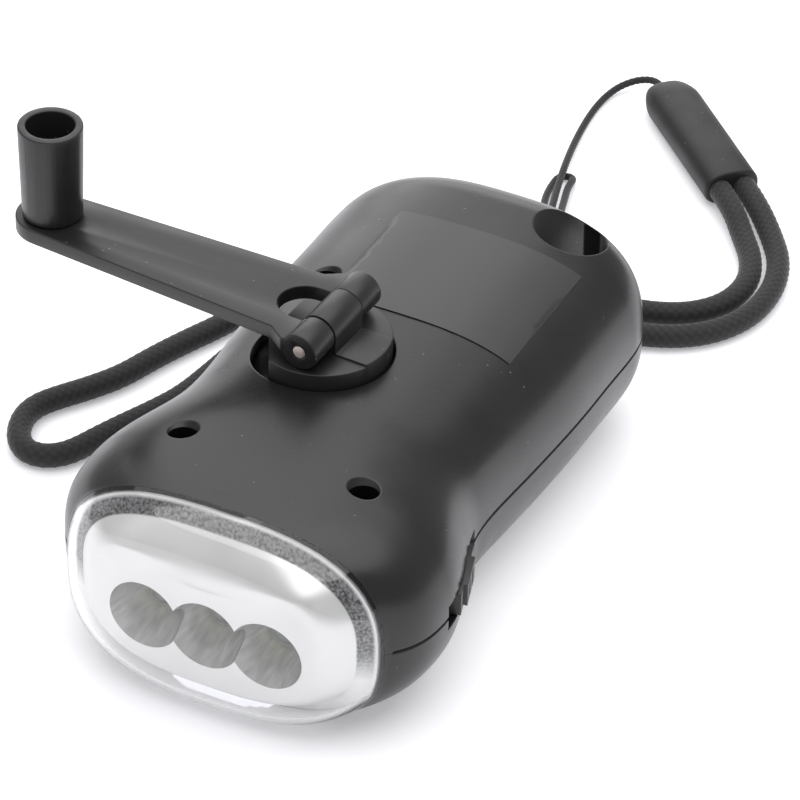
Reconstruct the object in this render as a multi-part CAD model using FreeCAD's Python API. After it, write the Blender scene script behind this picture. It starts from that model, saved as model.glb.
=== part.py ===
import FreeCAD, Part
import math
import os

# Hand crank flashlight, in millimetres. X to the right, Y from the lens to the rear, Z up.
# The origin is on the table, under the middle of the case. Stations run back from the lens edge.

Vec = FreeCAD.Vector
os.makedirs("parts", exist_ok=True)

# Case
case_length = 99.0
case_half_height = 17.4
case_exponent = 2.7
section_steps = 22
lens_half_width = 26.4
head_half_width = 31.0
head_station = 13.0
waist_half_width = 25.9
waist_station = 33.0
grip_half_width = 27.5
grip_station = 68.0
rear_corner = 14.0
rear_edge_round = 9.0
wall = 2.0
rest_flat_depth = 0.4
seam_height = 0.3
seam_depth = 0.35

# Lens, reflector and lamps
lens_depth = 9.0
lens_exponent = 3.5
lens_side_taper = 0.4
lens_top_taper = 0.05
lens_corner_ease = 0.3
lens_wall = 1.8
lens_flange = 1.0
lip_length = 3.0
lip_wall = 1.4
lip_clearance = 0.1
reflector_clearance = 0.15
reflector_wall = 1.0
reflector_front = 5.7
reflector_crown = 0.5
reflector_crown_share = 0.6
reflector_rim_front = 1.5
reflector_chamfer = 5.0
bore_spacing = 10.2
bore_drop = 2.0
bore_mouth_radius = 5.75
bore_throat_radius = 2.7
bore_wall = 0.7
bore_overrun = 2.0
lamp_radius = 2.5
lamp_length = 6.5
lamp_board_station = 5.0
lamp_board_thickness = 1.4
lamp_board_half_width = 18.0
lamp_board_half_height = 7.5
lamp_rib_half_width = 1.5

# Crank
crank_x = -5.65
crank_station = 41.8
crank_rest_angle = 177.0
nest_bearing = 68.4
arm_reach = 50.2
pin_offset = 1.5
hub_radius = 10.65
recess_clearance = 0.5
recess_depth = 5.0
recess_floor = 1.8
hub_stand = 2.6
hub_lift = 0.2
hub_shaft_radius = 3.0
hub_journal_radius = 2.2
hub_relief = 3.4
hub_relief_depth = 3.0
knuckle_radius = 3.1
knuckle_width = 8.0
knuckle_pad_height = 0.5
pin_radius = 1.0
pin_height = 3.25
ear_radius = 3.0
ear_gap = 0.2
ear_width = 5.6
arm_top = 1.6
arm_thickness = 2.5
arm_root_half_width = 7.9
arm_slot_end = 8.9
shoulder_start = 3.3
shoulder_length = 2.7
arm_tip_radius = 5.8
knob_length = 16.2
knob_gap = 0.2
knob_foot_radius = 4.75
knob_rim_radius = 5.1
knob_bore_radius = 3.8
knob_floor = 2.5
knob_stud_radius = 1.5
knob_head_radius = 2.8
knob_head_height = 1.6
nest_clearance = 0.9
nest_spare_depth = 1.4
nest_wall = 1.4
running_clearance = 0.06

# Gear train
gear_module = 0.6
pressure_angle = 20.0
addendum_factor = 0.9
dedendum_factor = 1.25
tooth_thinning = 0.08
drive_teeth = 48
pinion_teeth = 10
wheel_one_teeth = 32
wheel_two_teeth = 30
gear_thickness = 2.4
pinion_overhang = 0.2
gear_level_gap = 0.6
gear_roof_gap = 0.4
step_one_bearing = 10.0
step_two_bearing = -100.0
rotor_bearing = 190.0
axle_radius = 1.0
collar_radius = 1.9
axial_play = 0.2
plate_thickness = 1.4
plate_margin = 3.0
plate_front_margin = 3.2
post_radius = 2.5
post_overhang = 2.0
post_rotor_offset = 5.0
axle_boss_wall = 1.0
axle_boss_grip = 2.4

# Generator
magnet_radius = 7.5
magnet_height = 7.0
magnet_air_gap = 0.8
coil_width = 4.2
coil_height = 9.0
magnet_to_plate = 1.2
bearing_post_radius = 3.0
bearing_depth = 3.0

# Case screws
screw_half_spacing = 15.1
screw_front_station = 15.0
screw_rear_station = 60.9
screw_hole_radius = 2.5
screw_post_radius = 3.6
screw_seat_height = 5.0
screw_radius = 0.98
screw_head_radius = 2.1
screw_head_height = 1.8
screw_length = 13.0
screw_free_radius = 1.3
pilot_radius = 1.0
pilot_spare = 1.0
hub_screw_head_radius = 2.8
hub_screw_head_height = 1.4
driver_slot_half_width = 0.3
driver_slot_share = 0.6

# Slide switch
switch_station = 21.2
slot_length = 19.0
slot_height = 4.4
slider_length = 12.0
slider_height = 4.0
slider_proud = 0.7
ridge_length = 7.0
ridge_height = 1.2
groove_width = 0.9
groove_depth = 0.6
groove_offset = 1.26
groove_height = 2.8
switch_travel = 3.2
flange_extra = 1.5
flange_thickness = 1.2
flange_setback = 3.3
switch_box_gap = 0.3
switch_box_depth = 4.6
switch_box_length = 13.0
switch_box_height = 7.0
lever_size = 1.6
lever_reach = 1.2
lever_side_play = 0.5
lever_height_play = 0.3
lever_end_play = 0.4

# Electrics
cell_radius = 5.8
cell_length = 5.3
cell_count = 3
sleeve_gap = 0.05
sleeve_wall = 0.3
battery_x = -8.0
battery_station = 83.5
battery_floor = 3.4
cradle_thickness = 2.0
cradle_share = 0.8
board_front_station = 66.0
board_depth = 10.5
board_half_width = 15.0
board_level = 9.0
board_thickness = 1.4
board_post_radius = 1.6
diode_radius = 0.9
diode_length = 4.0
diode_count = 4
diode_spacing = 4.0

# Label and strap anchor
label_left = -12.2
label_right = 19.5
label_front_station = 55.2
label_rear_station = 81.0
label_thickness = 0.15
label_lift = 0.03
label_steps = 10
eyelet_half_width = 4.5
eyelet_half_height = 3.0
eyelet_depth = 5.2
eyelet_wall = 1.2
strap_bar_radius = 1.2
strap_bar_setback = 2.2
strap_bar_seat = 1.0

# Wrist strap
thin_cord_diameter = 1.3
wrist_cord_diameter = 4.0
strand_gap = 0.4
cap_half_width = 4.9
cap_half_height = 3.2
cap_front_half_width = 3.6
cap_front_half_height = 2.2
cap_taper_length = 5.0
cap_start = (-7.6, 126.0)
cap_end = (14.8, 104.2)
cord_rise = 0.05
cord_arc_share = 0.45
cord_straight = 0.001
cap_edge_round = 0.5
cap_oval_steps = 24
cap_oval_power = 0.8

# Worked out from the values above
front_y = -case_length / 2
seam_z = case_half_height - rest_flat_depth
top_z = seam_z + case_half_height
hub_y = front_y + crank_station
recess_radius = hub_radius + recess_clearance
recess_floor_z = top_z - recess_depth
roof_z = recess_floor_z - recess_floor
hub_top_z = top_z + hub_stand
pin_z = hub_top_z + pin_height
knob_local_x = arm_reach - pin_offset
ear_outer = knuckle_width / 2 + ear_gap + ear_width
nest_reach = arm_reach + pin_offset
nest_x = crank_x + nest_reach * math.cos(math.radians(nest_bearing))
nest_y = hub_y + nest_reach * math.sin(math.radians(nest_bearing))
nest_radius = knob_rim_radius + nest_clearance
knob_top_z = pin_z + arm_top + knob_gap + knob_length
nest_floor_z = 2 * pin_z - knob_top_z - nest_spare_depth


def cylinder(radius, height, base, direction=Vec(0, 0, 1)):
    return Part.makeCylinder(radius, height, base, direction)


def box(low, high):
    size = Vec(*high) - Vec(*low)
    return Part.makeBox(size.x, size.y, size.z, Vec(*low))


def prism(points, height):
    face = Part.Face(Part.makePolygon(points + [points[0]]))
    return face.extrude(Vec(0, 0, height))


def save(shape, name):
    solids = shape.Solids
    result = solids[0] if len(solids) == 1 else Part.makeCompound(solids)
    result.exportStep("parts/" + name + ".step")
    print(name, "solids", len(solids), "volume", round(shape.Volume, 2), "valid", shape.isValid())


def ease(value):
    return value * value * (3 - 2 * value)


def plan_half_width(station):
    # The plan bulges at the head, draws in at the waist and widens again to the grip.
    if station <= head_station:
        return head_half_width - (head_half_width - lens_half_width) * (1 - max(station, 0) / head_station) ** 3
    if station <= waist_station:
        share = ease((station - head_station) / (waist_station - head_station))
        return head_half_width + (waist_half_width - head_half_width) * share
    if station <= grip_station:
        share = ease((station - waist_station) / (grip_station - waist_station))
        return waist_half_width + (grip_half_width - waist_half_width) * share
    return grip_half_width


def rounded_in(station, radius, inset):
    # How much a rear corner of this radius draws the section in at this station.
    run = station - (case_length - radius)
    if run <= 0:
        return 0
    inner = radius - inset
    return inner - math.sqrt(max(inner ** 2 - run ** 2, 0))


def case_section(station, inset):
    half_width = plan_half_width(station) - inset - rounded_in(station, rear_corner, inset)
    half_height = case_half_height - inset - rounded_in(station, rear_edge_round, inset)
    return half_width, half_height


def section_arc(half_width, half_height, y, side, exponent=case_exponent):
    # The upper (side 1) or lower (side -1) half of a section, from +X round to -X.
    points = []
    for i in range(section_steps + 1):
        turn = math.pi * i / section_steps
        reach = (abs(math.cos(turn)) ** exponent + math.sin(turn) ** exponent) ** (-1 / exponent)
        rise = reach * math.sin(turn) if 0 < i < section_steps else 0
        points.append(Vec(half_width * reach * math.cos(turn), y, seam_z + side * half_height * rise))
    curve = Part.BSplineCurve()
    curve.interpolate(Points=points, InitialTangent=Vec(0, 0, side), FinalTangent=Vec(0, 0, -side), Scale=False)
    return curve.toShape()


def half_wire(half_width, half_height, y, side):
    arc = section_arc(half_width, half_height, y, side)
    closing = Part.makeLine(Vec(-half_width, y, seam_z), Vec(half_width, y, seam_z))
    return Part.Wire([arc, closing])


def full_wire(half_width, half_height, y, exponent=case_exponent):
    upper = section_arc(half_width, half_height, y, 1, exponent)
    lower = section_arc(-half_width, half_height, y, -1, exponent)
    return Part.Wire([upper, lower])


def half_case(side, inset, front_station=0.0):
    # One half of the case as a closed solid, drawn in on every side by the inset.
    head_steps = [head_station * share for share in (0.18, 0.42, 0.7)]
    waist_steps = [head_station + (waist_station - head_station) * share for share in (0, 0.25, 0.5, 0.75, 1)]
    grip_steps = [waist_station + (grip_station - waist_station) * share for share in (0.33, 0.67, 1)]
    corner_start = case_length - rear_corner
    corner_steps = [corner_start + (rear_corner - inset) * math.sin(math.radians(turn))
                    for turn in (0, 22, 42, 58, 71, 81, 90)]
    stations = [front_station] + head_steps + waist_steps + grip_steps
    stations.append((grip_station + corner_start) / 2)
    stations += corner_steps
    wires = [half_wire(*case_section(station, inset), front_y + station, side) for station in stations]
    return Part.makeLoft(wires, True, False)


def screw_places():
    return [(side * screw_half_spacing, front_y + station)
            for station in (screw_front_station, screw_rear_station) for side in (-1, 1)]


# Gear centres, and the tooth phase that puts each pinion in mesh
pinion_radius = gear_module * pinion_teeth / 2


def gear_step(centre, teeth, bearing):
    distance = gear_module * teeth / 2 + pinion_radius
    angle = math.radians(bearing)
    return Vec(centre.x + distance * math.cos(angle), centre.y + distance * math.sin(angle), 0)


def meshed_phase(driver_teeth, driver_phase, bearing):
    pitch = 360.0 / pinion_teeth
    shift = (bearing - driver_phase) * driver_teeth / 360.0
    return bearing + 180.0 - pitch * (0.5 - shift)


hub_centre = Vec(crank_x, hub_y, 0)
step_one_centre = gear_step(hub_centre, drive_teeth, step_one_bearing)
step_two_centre = gear_step(step_one_centre, wheel_one_teeth, step_two_bearing)
rotor_centre = gear_step(step_two_centre, wheel_two_teeth, rotor_bearing)
drive_top_z = roof_z - gear_roof_gap
drive_low_z = drive_top_z - gear_thickness
wheel_one_z = drive_low_z - gear_level_gap - gear_thickness
wheel_two_z = wheel_one_z - gear_level_gap - pinion_overhang - gear_thickness
rotor_pinion_z = wheel_two_z - gear_level_gap
plate_top_z = rotor_pinion_z - pinion_overhang * 2
plate_low_z = plate_top_z - plate_thickness
magnet_z = plate_low_z - magnet_to_plate - magnet_height
coil_z = plate_low_z - coil_height
boss_one_z = drive_top_z + 2 * gear_level_gap
boss_two_z = drive_low_z + pinion_overhang


def gear_blank(teeth, width, centre, base_z, phase):
    # A spur gear whose involute flanks are short straight runs.
    pitch_radius = gear_module * teeth / 2
    base_radius = pitch_radius * math.cos(math.radians(pressure_angle))
    tip_radius = pitch_radius + addendum_factor * gear_module
    root_radius = pitch_radius - dedendum_factor * gear_module
    start_radius = max(base_radius, root_radius)
    flank = [root_radius] if root_radius < base_radius else []
    flank += [start_radius + (tip_radius - start_radius) * share for share in (0, 0.25, 0.5, 0.75, 1)]
    half_pitch = math.pi / (2 * teeth) - tooth_thinning / (2 * pitch_radius)
    tilt = math.radians(pressure_angle)
    pitch_involute = math.tan(tilt) - tilt

    def half_angle(radius):
        angle = math.acos(min(base_radius / radius, 1)) if radius > base_radius else 0
        return half_pitch + pitch_involute - (math.tan(angle) - angle)

    points = []
    for tooth in range(teeth):
        middle = math.radians(phase) + 2 * math.pi * tooth / teeth
        sides = [(radius, middle - half_angle(radius)) for radius in flank]
        sides += [(radius, middle + half_angle(radius)) for radius in reversed(flank)]
        for radius, angle in sides:
            points.append(Vec(centre.x + radius * math.cos(angle), centre.y + radius * math.sin(angle), base_z))
    return prism(points, width)


def at_centre(centre, z):
    return Vec(centre.x, centre.y, z)


# The slide switch lies along the flank between the head and the waist.
switch_x = plan_half_width(switch_station)
flank_run = slot_length / 2
flank_slope = (plan_half_width(switch_station + flank_run) - plan_half_width(switch_station - flank_run))
switch_along = Vec(flank_slope, 2 * flank_run, 0).normalize()
switch_out = Vec(switch_along.y, -switch_along.x, 0)
switch_centre = Vec(switch_x, front_y + switch_station, seam_z)


def switch_block(length, height, inner, outer, shift=0.0):
    # A block on the switch's own axes: along the flank, up, and out from its surface.
    block = Part.makeBox(length, outer - inner, height, Vec(-length / 2 + shift, inner, -height / 2))
    placement = FreeCAD.Placement(
        switch_centre, FreeCAD.Rotation(switch_along, switch_out, Vec(0, 0, -1), "ZXY"))
    block.Placement = placement
    return block


def drill_screws(z, radius, height):
    return [cylinder(radius, height, Vec(x, y, z)) for x, y in screw_places()]


def build_shell(side, added, removed):
    # A shell is the hollow half case, with its posts and bosses, less its bores and openings.
    outer = half_case(side, 0)
    shell = outer.cut(half_case(side, wall, -1.0))
    inside = added[0].fuse(added[1:]).common(outer)
    return shell.fuse(inside).cut(removed + [seam_ring(side)])


def build_upper_shell():
    tall = case_half_height * 2
    nest = Vec(nest_x, nest_y, nest_floor_z)
    added = [cylinder(recess_radius + wall, tall, at_centre(hub_centre, roof_z)),
             cylinder(nest_radius + nest_wall, tall, nest - Vec(0, 0, nest_wall)), eyelet_block(eyelet_wall)]
    added += drill_screws(seam_z, screw_post_radius, tall)
    removed = [cylinder(recess_radius, tall, at_centre(hub_centre, recess_floor_z)),
               cylinder(hub_shaft_radius + running_clearance, tall, at_centre(hub_centre, seam_z)),
               cylinder(nest_radius, tall, nest), switch_block(slot_length, slot_height, -wall * 3, wall * 2),
               eyelet_block(0), strap_bar_shape()]
    removed += drill_screws(seam_z + screw_seat_height, screw_hole_radius, tall)
    removed += drill_screws(seam_z - 1, screw_free_radius, tall)
    for centre, low in ((step_one_centre, boss_one_z), (step_two_centre, boss_two_z)):
        added.append(cylinder(axle_radius + axle_boss_wall, tall, at_centre(centre, low)))
        removed.append(cylinder(axle_radius, axle_boss_grip, at_centre(centre, low)))
    return build_shell(1, added, removed)


def seam_ring(side):
    # The shallow groove that shows where the two shells meet.
    low = seam_z if side > 0 else seam_z - seam_height
    span = head_half_width * 2
    slab = box((-span, front_y + wall / 2, low), (span, front_y + case_length * 2, low + seam_height))
    return slab.cut(half_case(side, seam_depth, -1.0))


def eyelet_block(grow):
    rear_y = front_y + case_length
    low = Vec(-eyelet_half_width - grow, rear_y - eyelet_depth - grow, seam_z - eyelet_half_height - grow)
    high = Vec(eyelet_half_width + grow, rear_y + wall, seam_z + eyelet_half_height + grow)
    return box(low, high)


def strap_bar_shape():
    length = 2 * (eyelet_half_height + strap_bar_seat)
    base = Vec(0, front_y + case_length - strap_bar_setback, seam_z - length / 2)
    return cylinder(strap_bar_radius, length, base)


def post_places():
    right = step_one_centre.x + plate_margin + post_overhang
    left = rotor_centre.x - post_rotor_offset
    rear = step_one_centre.y + plate_margin + post_overhang
    return [(right, rotor_centre.y), (right, rear), (left, rear)]


def floor_post(radius, x, y, top):
    return cylinder(radius, top, Vec(x, y, 0))


def build_lower_shell():
    added = [stator_ring(0, coil_z), eyelet_block(eyelet_wall),
             floor_post(bearing_post_radius, rotor_centre.x, rotor_centre.y, coil_z)]
    added += [floor_post(screw_post_radius, x, y, seam_z) for x, y in screw_places()]
    added += [floor_post(post_radius, x, y, plate_low_z) for x, y in post_places()]
    added += [floor_post(board_post_radius, x, y, board_level) for x, y in board_post_places()]
    added += [cradle_rib(x) for x in cradle_places()]
    added += [lamp_rib(side) for side in (-1, 1)]
    added += switch_ribs()
    screw_tip_z = seam_z + screw_seat_height - screw_length
    bearing_z = coil_z - bearing_depth
    removed = [cylinder(axle_radius + running_clearance, bearing_depth * 2, at_centre(rotor_centre, bearing_z)),
               battery_bore(cell_radius + sleeve_gap + sleeve_wall), eyelet_block(0), strap_bar_shape(),
               switch_block(slot_length, slot_height, -wall * 3, wall * 2),
               box((-case_length, -case_length, -case_length), (case_length, case_length, 0))]
    removed += drill_screws(screw_tip_z - pilot_spare, pilot_radius, screw_length * 2)
    return build_shell(-1, added, removed)


def stator_ring(low, height):
    inner = magnet_radius + magnet_air_gap
    ring = cylinder(inner + coil_width, height, at_centre(rotor_centre, low))
    return ring.cut(cylinder(inner, height, at_centre(rotor_centre, low)))


def board_post_places():
    rear = front_y + board_front_station + board_depth - 2 * board_post_radius
    front = front_y + board_front_station + 2 * board_post_radius
    side = board_half_width - 2 * board_post_radius
    return [(x, y) for x in (-side, side) for y in (front, rear)]


def battery_length():
    return cell_length * cell_count


def battery_bore(radius):
    length = battery_length() + 4 * cradle_thickness
    start = Vec(battery_x - length / 2, front_y + battery_station, battery_floor + cell_radius)
    return cylinder(radius, length, start, Vec(1, 0, 0))


def cradle_places():
    reach = battery_length() / 2 - cradle_thickness
    return [battery_x - reach, battery_x + reach]


def cradle_rib(x):
    y = front_y + battery_station
    half = cell_radius * cradle_share
    low = (x - cradle_thickness / 2, y - half, 0)
    return box(low, (x + cradle_thickness / 2, y + half, battery_floor + half))


def lamp_rib(side):
    station = lamp_board_station + lamp_board_thickness
    x = side * (bore_spacing + bore_throat_radius)
    y = front_y + station
    return box((x - lamp_rib_half_width, y, 0), (x + lamp_rib_half_width, y + wall, seam_z - bore_drop))


def switch_ribs():
    inner = -flange_setback - flange_thickness - switch_box_gap - switch_box_depth
    ribs = []
    for shift in (-switch_box_length / 3, switch_box_length / 3):
        rib = switch_block(wall, seam_z * 2, inner, inner + switch_box_depth, shift)
        ribs.append(rib.common(box((-case_length, -case_length, 0),
                                   (case_length, case_length, seam_z - switch_box_height / 2))))
    return ribs


def build_lens_cover():
    def dome(inset):
        wires = []
        for turn in (0, 5, 14, 28, 42, 55, 67, 77, 84):
            angle = math.radians(turn)
            scale = math.cos(angle) ** (2 / lens_exponent)
            reach = math.sin(angle) ** (2 / lens_exponent) * (lens_depth - inset)
            half_width = (lens_half_width - inset - lens_side_taper * reach) * scale
            half_height = (case_half_height - inset - lens_top_taper * reach) * scale
            exponent = case_exponent - lens_corner_ease * reach / lens_depth
            wires.append(full_wire(half_width, half_height, front_y - reach, exponent))
        return Part.makeLoft(wires, True, False)

    span = head_half_width * 2
    flange_y = front_y - lens_flange
    hollow = dome(lens_wall).common(box((-span, flange_y - span, -span), (span, flange_y, span)))
    lip_inset = wall + lip_clearance
    cover = dome(0).fuse(straight_sleeve(lip_inset, 0, lip_length))
    cover = cover.cut([hollow, straight_sleeve(lip_inset + lip_wall, -lens_flange, lip_length)])
    return cover.cut(box((-span, -2 * span, -span), (span, 2 * span, 0)))


def straight_sleeve(inset, start, end):
    wires = [full_wire(lens_half_width - inset, case_half_height - inset, front_y + station)
             for station in (start, end)]
    return Part.makeLoft(wires, True, True)


def lamp_places():
    return [(step * bore_spacing, seam_z - bore_drop) for step in (-1, 0, 1)]


def build_reflector():
    rim_inset = wall + lip_clearance + lip_wall + reflector_clearance
    half_width = lens_half_width - rim_inset
    half_height = case_half_height - rim_inset

    def hood_wire(inset, drawn_in, y, share=1.0):
        return full_wire((half_width - drawn_in - inset) * share, (half_height - drawn_in - inset) * share, y)

    def hood(inset, back):
        rim = hood_wire(inset, 0, front_y - reflector_rim_front)
        edge = hood_wire(inset, reflector_chamfer, front_y - reflector_front + inset)
        crown = hood_wire(inset, reflector_chamfer, front_y - reflector_front - reflector_crown + inset,
                          reflector_crown_share)
        steps = [hood_wire(inset, 0, front_y + back), rim, edge, crown]
        lofts = [Part.makeLoft([low, high], True, True) for low, high in zip(steps, steps[1:])]
        return lofts[0].fuse(lofts[1:])

    body = hood(0, lip_length).cut(hood(reflector_wall, lip_length + 1.0))
    throat_y = front_y + lamp_board_station
    mouth_y = front_y - reflector_front
    length = throat_y - mouth_y
    for x, z in lamp_places():
        cone = Part.makeCone(bore_throat_radius + bore_wall, bore_mouth_radius + bore_wall, length,
                             Vec(x, throat_y, z), Vec(0, -1, 0))
        body = body.fuse(cone)
    rate = (bore_mouth_radius - bore_throat_radius) / length
    widening = rate * bore_overrun
    for x, z in lamp_places():
        bore = Part.makeCone(bore_throat_radius - widening, bore_mouth_radius + widening,
                             length + 2 * bore_overrun, Vec(x, throat_y + bore_overrun, z), Vec(0, -1, 0))
        body = body.cut(bore)
    return body


def build_lamp(x, z):
    base_y = front_y + lamp_board_station
    straight = lamp_length - lamp_radius
    body = cylinder(lamp_radius, straight, Vec(x, base_y, z), Vec(0, -1, 0))
    dome = Part.makeSphere(lamp_radius, Vec(x, base_y - straight, z))
    return body.fuse(dome).removeSplitter()


def build_lamp_board():
    low_y = front_y + lamp_board_station
    z = seam_z - bore_drop
    return box((-lamp_board_half_width, low_y, z - lamp_board_half_height),
               (lamp_board_half_width, low_y + lamp_board_thickness, z + lamp_board_half_height))


# The crank is drawn with its arm along +X from the hub, then turned to where it rests.
def crank_place(shape, angle=crank_rest_angle):
    shape = shape.copy()
    shape.rotate(Vec(0, 0, 0), Vec(0, 0, 1), angle)
    shape.translate(Vec(crank_x, hub_y, 0))
    return shape


def across_pin(radius, width, start, x=-pin_offset, z=pin_z):
    return cylinder(radius, width, Vec(x, start, z), Vec(0, 1, 0))


def build_crank_hub():
    low_z = recess_floor_z + hub_lift
    disc = cylinder(hub_radius, hub_top_z - low_z, Vec(0, 0, low_z))
    relief_x = hub_radius - hub_relief
    disc = disc.cut(box((relief_x, -hub_radius, hub_top_z - hub_relief_depth),
                        (hub_radius * 2, hub_radius, hub_top_z + 1)))
    half = knuckle_width / 2
    knuckle = across_pin(knuckle_radius, knuckle_width, -half)
    web = box((-pin_offset - knuckle_radius, -half, hub_top_z - 1), (-pin_offset + knuckle_radius, half, pin_z))
    pad = box((-hub_radius, -half, hub_top_z - 1), (-pin_offset, half, hub_top_z + knuckle_pad_height))
    pad = pad.common(cylinder(hub_radius, hub_stand * 4, Vec(0, 0, hub_top_z - hub_stand)))
    shaft = cylinder(hub_shaft_radius, low_z - drive_top_z, Vec(0, 0, drive_top_z))
    journal = cylinder(hub_journal_radius, gear_thickness, Vec(0, 0, drive_low_z))
    hub = disc.fuse([knuckle, web, pad, shaft, journal])
    hub = hub.cut(across_pin(pin_radius + running_clearance, knuckle_width * 2, -knuckle_width))
    hub = hub.cut(cylinder(pilot_radius, gear_thickness + recess_floor + hub_lift, Vec(0, 0, drive_low_z)))
    return crank_place(hub.removeSplitter())


def build_crank_arm():
    low_z = pin_z + arm_top - arm_thickness
    tip_x = knob_local_x
    shoulder_x = shoulder_start - pin_offset
    root_x = shoulder_x + shoulder_length
    lean = math.asin((arm_root_half_width - arm_tip_radius) / (tip_x - root_x))
    edge_x = tip_x + arm_tip_radius * math.sin(lean)
    edge_y = arm_tip_radius * math.cos(lean)
    outline = [
        Vec(-pin_offset, -ear_outer, low_z), Vec(shoulder_x, -ear_outer, low_z),
        Vec(root_x, -arm_root_half_width, low_z), Vec(edge_x, -edge_y, low_z)]
    mirrored = [Vec(point.x, -point.y, point.z) for point in reversed(outline)]
    edges = [Part.makeLine(start, end) for start, end in zip(outline, outline[1:])]
    edges.append(Part.Arc(outline[-1], Vec(tip_x + arm_tip_radius, 0, low_z), mirrored[0]).toShape())
    edges += [Part.makeLine(start, end) for start, end in zip(mirrored, mirrored[1:])]
    edges.append(Part.makeLine(mirrored[-1], outline[0]))
    plate = Part.Face(Part.Wire(edges)).extrude(Vec(0, 0, arm_thickness))
    barrel = across_pin(ear_radius, 2 * ear_outer, -ear_outer)
    brow = prism([Vec(-pin_offset, -ear_outer, pin_z), Vec(shoulder_x, -ear_outer, pin_z),
                  Vec(shoulder_x, ear_outer, pin_z), Vec(-pin_offset, ear_outer, pin_z)], arm_top)
    arm = plate.fuse([barrel, brow])
    slot_half = knuckle_width / 2 + ear_gap
    slot_end_x = arm_slot_end - pin_offset
    slot = box((-pin_offset - ear_radius * 2, -slot_half, low_z - ear_radius * 2),
               (slot_end_x - slot_half, slot_half, pin_z + ear_radius * 2))
    slot = slot.fuse(cylinder(slot_half, ear_radius * 6, Vec(slot_end_x - slot_half, 0, low_z - ear_radius * 2)))
    arm = arm.cut(slot)
    arm = arm.cut(across_pin(pin_radius, 4 * ear_outer, -2 * ear_outer))
    arm = arm.cut(cylinder(knob_stud_radius, arm_thickness * 3, Vec(tip_x, 0, low_z - arm_thickness)))
    return crank_place(arm.removeSplitter())


def build_hinge_pin():
    return crank_place(across_pin(pin_radius, 2 * ear_outer, -ear_outer))


def knob_base_z():
    return pin_z + arm_top + knob_gap


def build_crank_knob():
    base = Vec(knob_local_x, 0, knob_base_z())
    knob = Part.makeCone(knob_foot_radius, knob_rim_radius, knob_length, base)
    bore_base = base + Vec(0, 0, knob_floor)
    knob = knob.cut(cylinder(knob_bore_radius, knob_length, bore_base))
    knob = knob.cut(cylinder(knob_stud_radius + running_clearance, knob_length, base - Vec(0, 0, 1)))
    return crank_place(knob)


def build_knob_stud():
    low_z = pin_z + arm_top - arm_thickness
    head_z = knob_base_z() + knob_floor + knob_gap
    stud = cylinder(knob_stud_radius, head_z - low_z, Vec(knob_local_x, 0, low_z))
    head = cylinder(knob_head_radius, knob_head_height, Vec(knob_local_x, 0, head_z))
    stud = stud.fuse(head).removeSplitter()
    stud = stud.cut(driver_cross(knob_local_x, 0, head_z, knob_head_radius, knob_head_height))
    return crank_place(stud)


def driver_cross(x, y, head_z, head_radius, head_height):
    # The crossed slots for a screwdriver in a head that starts at head_z.
    reach = head_radius * driver_slot_share
    low_z = head_z + head_height / 2
    half = driver_slot_half_width
    return [box((x - reach, y - half, low_z), (x + reach, y + half, low_z + head_height)),
            box((x - half, y - reach, low_z), (x + half, y + reach, low_z + head_height))]


def build_drive_gear():
    gear = gear_blank(drive_teeth, gear_thickness, hub_centre, drive_low_z, 0)
    return gear.cut(cylinder(hub_journal_radius, gear_thickness, at_centre(hub_centre, drive_low_z)))


def build_hub_screw():
    head = cylinder(hub_screw_head_radius, hub_screw_head_height,
                    at_centre(hub_centre, drive_low_z - hub_screw_head_height))
    shank = cylinder(screw_radius, gear_thickness + recess_floor, at_centre(hub_centre, drive_low_z))
    return head.fuse(shank).removeSplitter()


def build_step_gear(centre, wheel_teeth, wheel_z, pinion_phase):
    wheel = gear_blank(wheel_teeth, gear_thickness, centre, wheel_z, 0)
    pinion_height = gear_level_gap + gear_thickness + pinion_overhang
    pinion = gear_blank(pinion_teeth, pinion_height, centre, wheel_z + gear_thickness, pinion_phase)
    collar_low = plate_top_z + axial_play
    collar = cylinder(collar_radius, wheel_z - collar_low, at_centre(centre, collar_low))
    gear = wheel.fuse([pinion, collar])
    bore = cylinder(axle_radius + running_clearance, case_half_height, at_centre(centre, plate_top_z))
    return gear.cut(bore)


def build_axle(centre, boss_z):
    return cylinder(axle_radius, boss_z + axle_boss_grip - plate_low_z, at_centre(centre, plate_low_z))


def build_rotor_pinion(phase):
    height = gear_thickness + gear_level_gap + pinion_overhang
    pinion = gear_blank(pinion_teeth, height, rotor_centre, rotor_pinion_z, phase)
    return pinion.cut(cylinder(axle_radius, height, at_centre(rotor_centre, rotor_pinion_z)))


def build_magnet():
    magnet = cylinder(magnet_radius, magnet_height, at_centre(rotor_centre, magnet_z))
    return magnet.cut(cylinder(axle_radius, magnet_height, at_centre(rotor_centre, magnet_z)))


def build_rotor_shaft():
    low_z = coil_z - bearing_depth + axial_play
    high_z = rotor_pinion_z + gear_thickness + gear_level_gap + 2 * pinion_overhang
    return cylinder(axle_radius, high_z - low_z, at_centre(rotor_centre, low_z))


def build_gearbox_plate():
    xs = [x for x, _ in post_places()]
    ys = [y for _, y in post_places()]
    low = (min(xs) - plate_margin, rotor_centre.y - plate_front_margin, plate_low_z)
    plate = box(low, (max(xs) + plate_margin, max(ys) + plate_margin, plate_top_z))
    plate = plate.cut(cylinder(axle_radius + running_clearance, plate_thickness * 3,
                               at_centre(rotor_centre, plate_low_z - plate_thickness)))
    for centre in (step_one_centre, step_two_centre):
        plate = plate.cut(cylinder(axle_radius, plate_thickness * 3,
                                   at_centre(centre, plate_low_z - plate_thickness)))
    return plate


def build_stator():
    return stator_ring(coil_z, coil_height)


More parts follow.
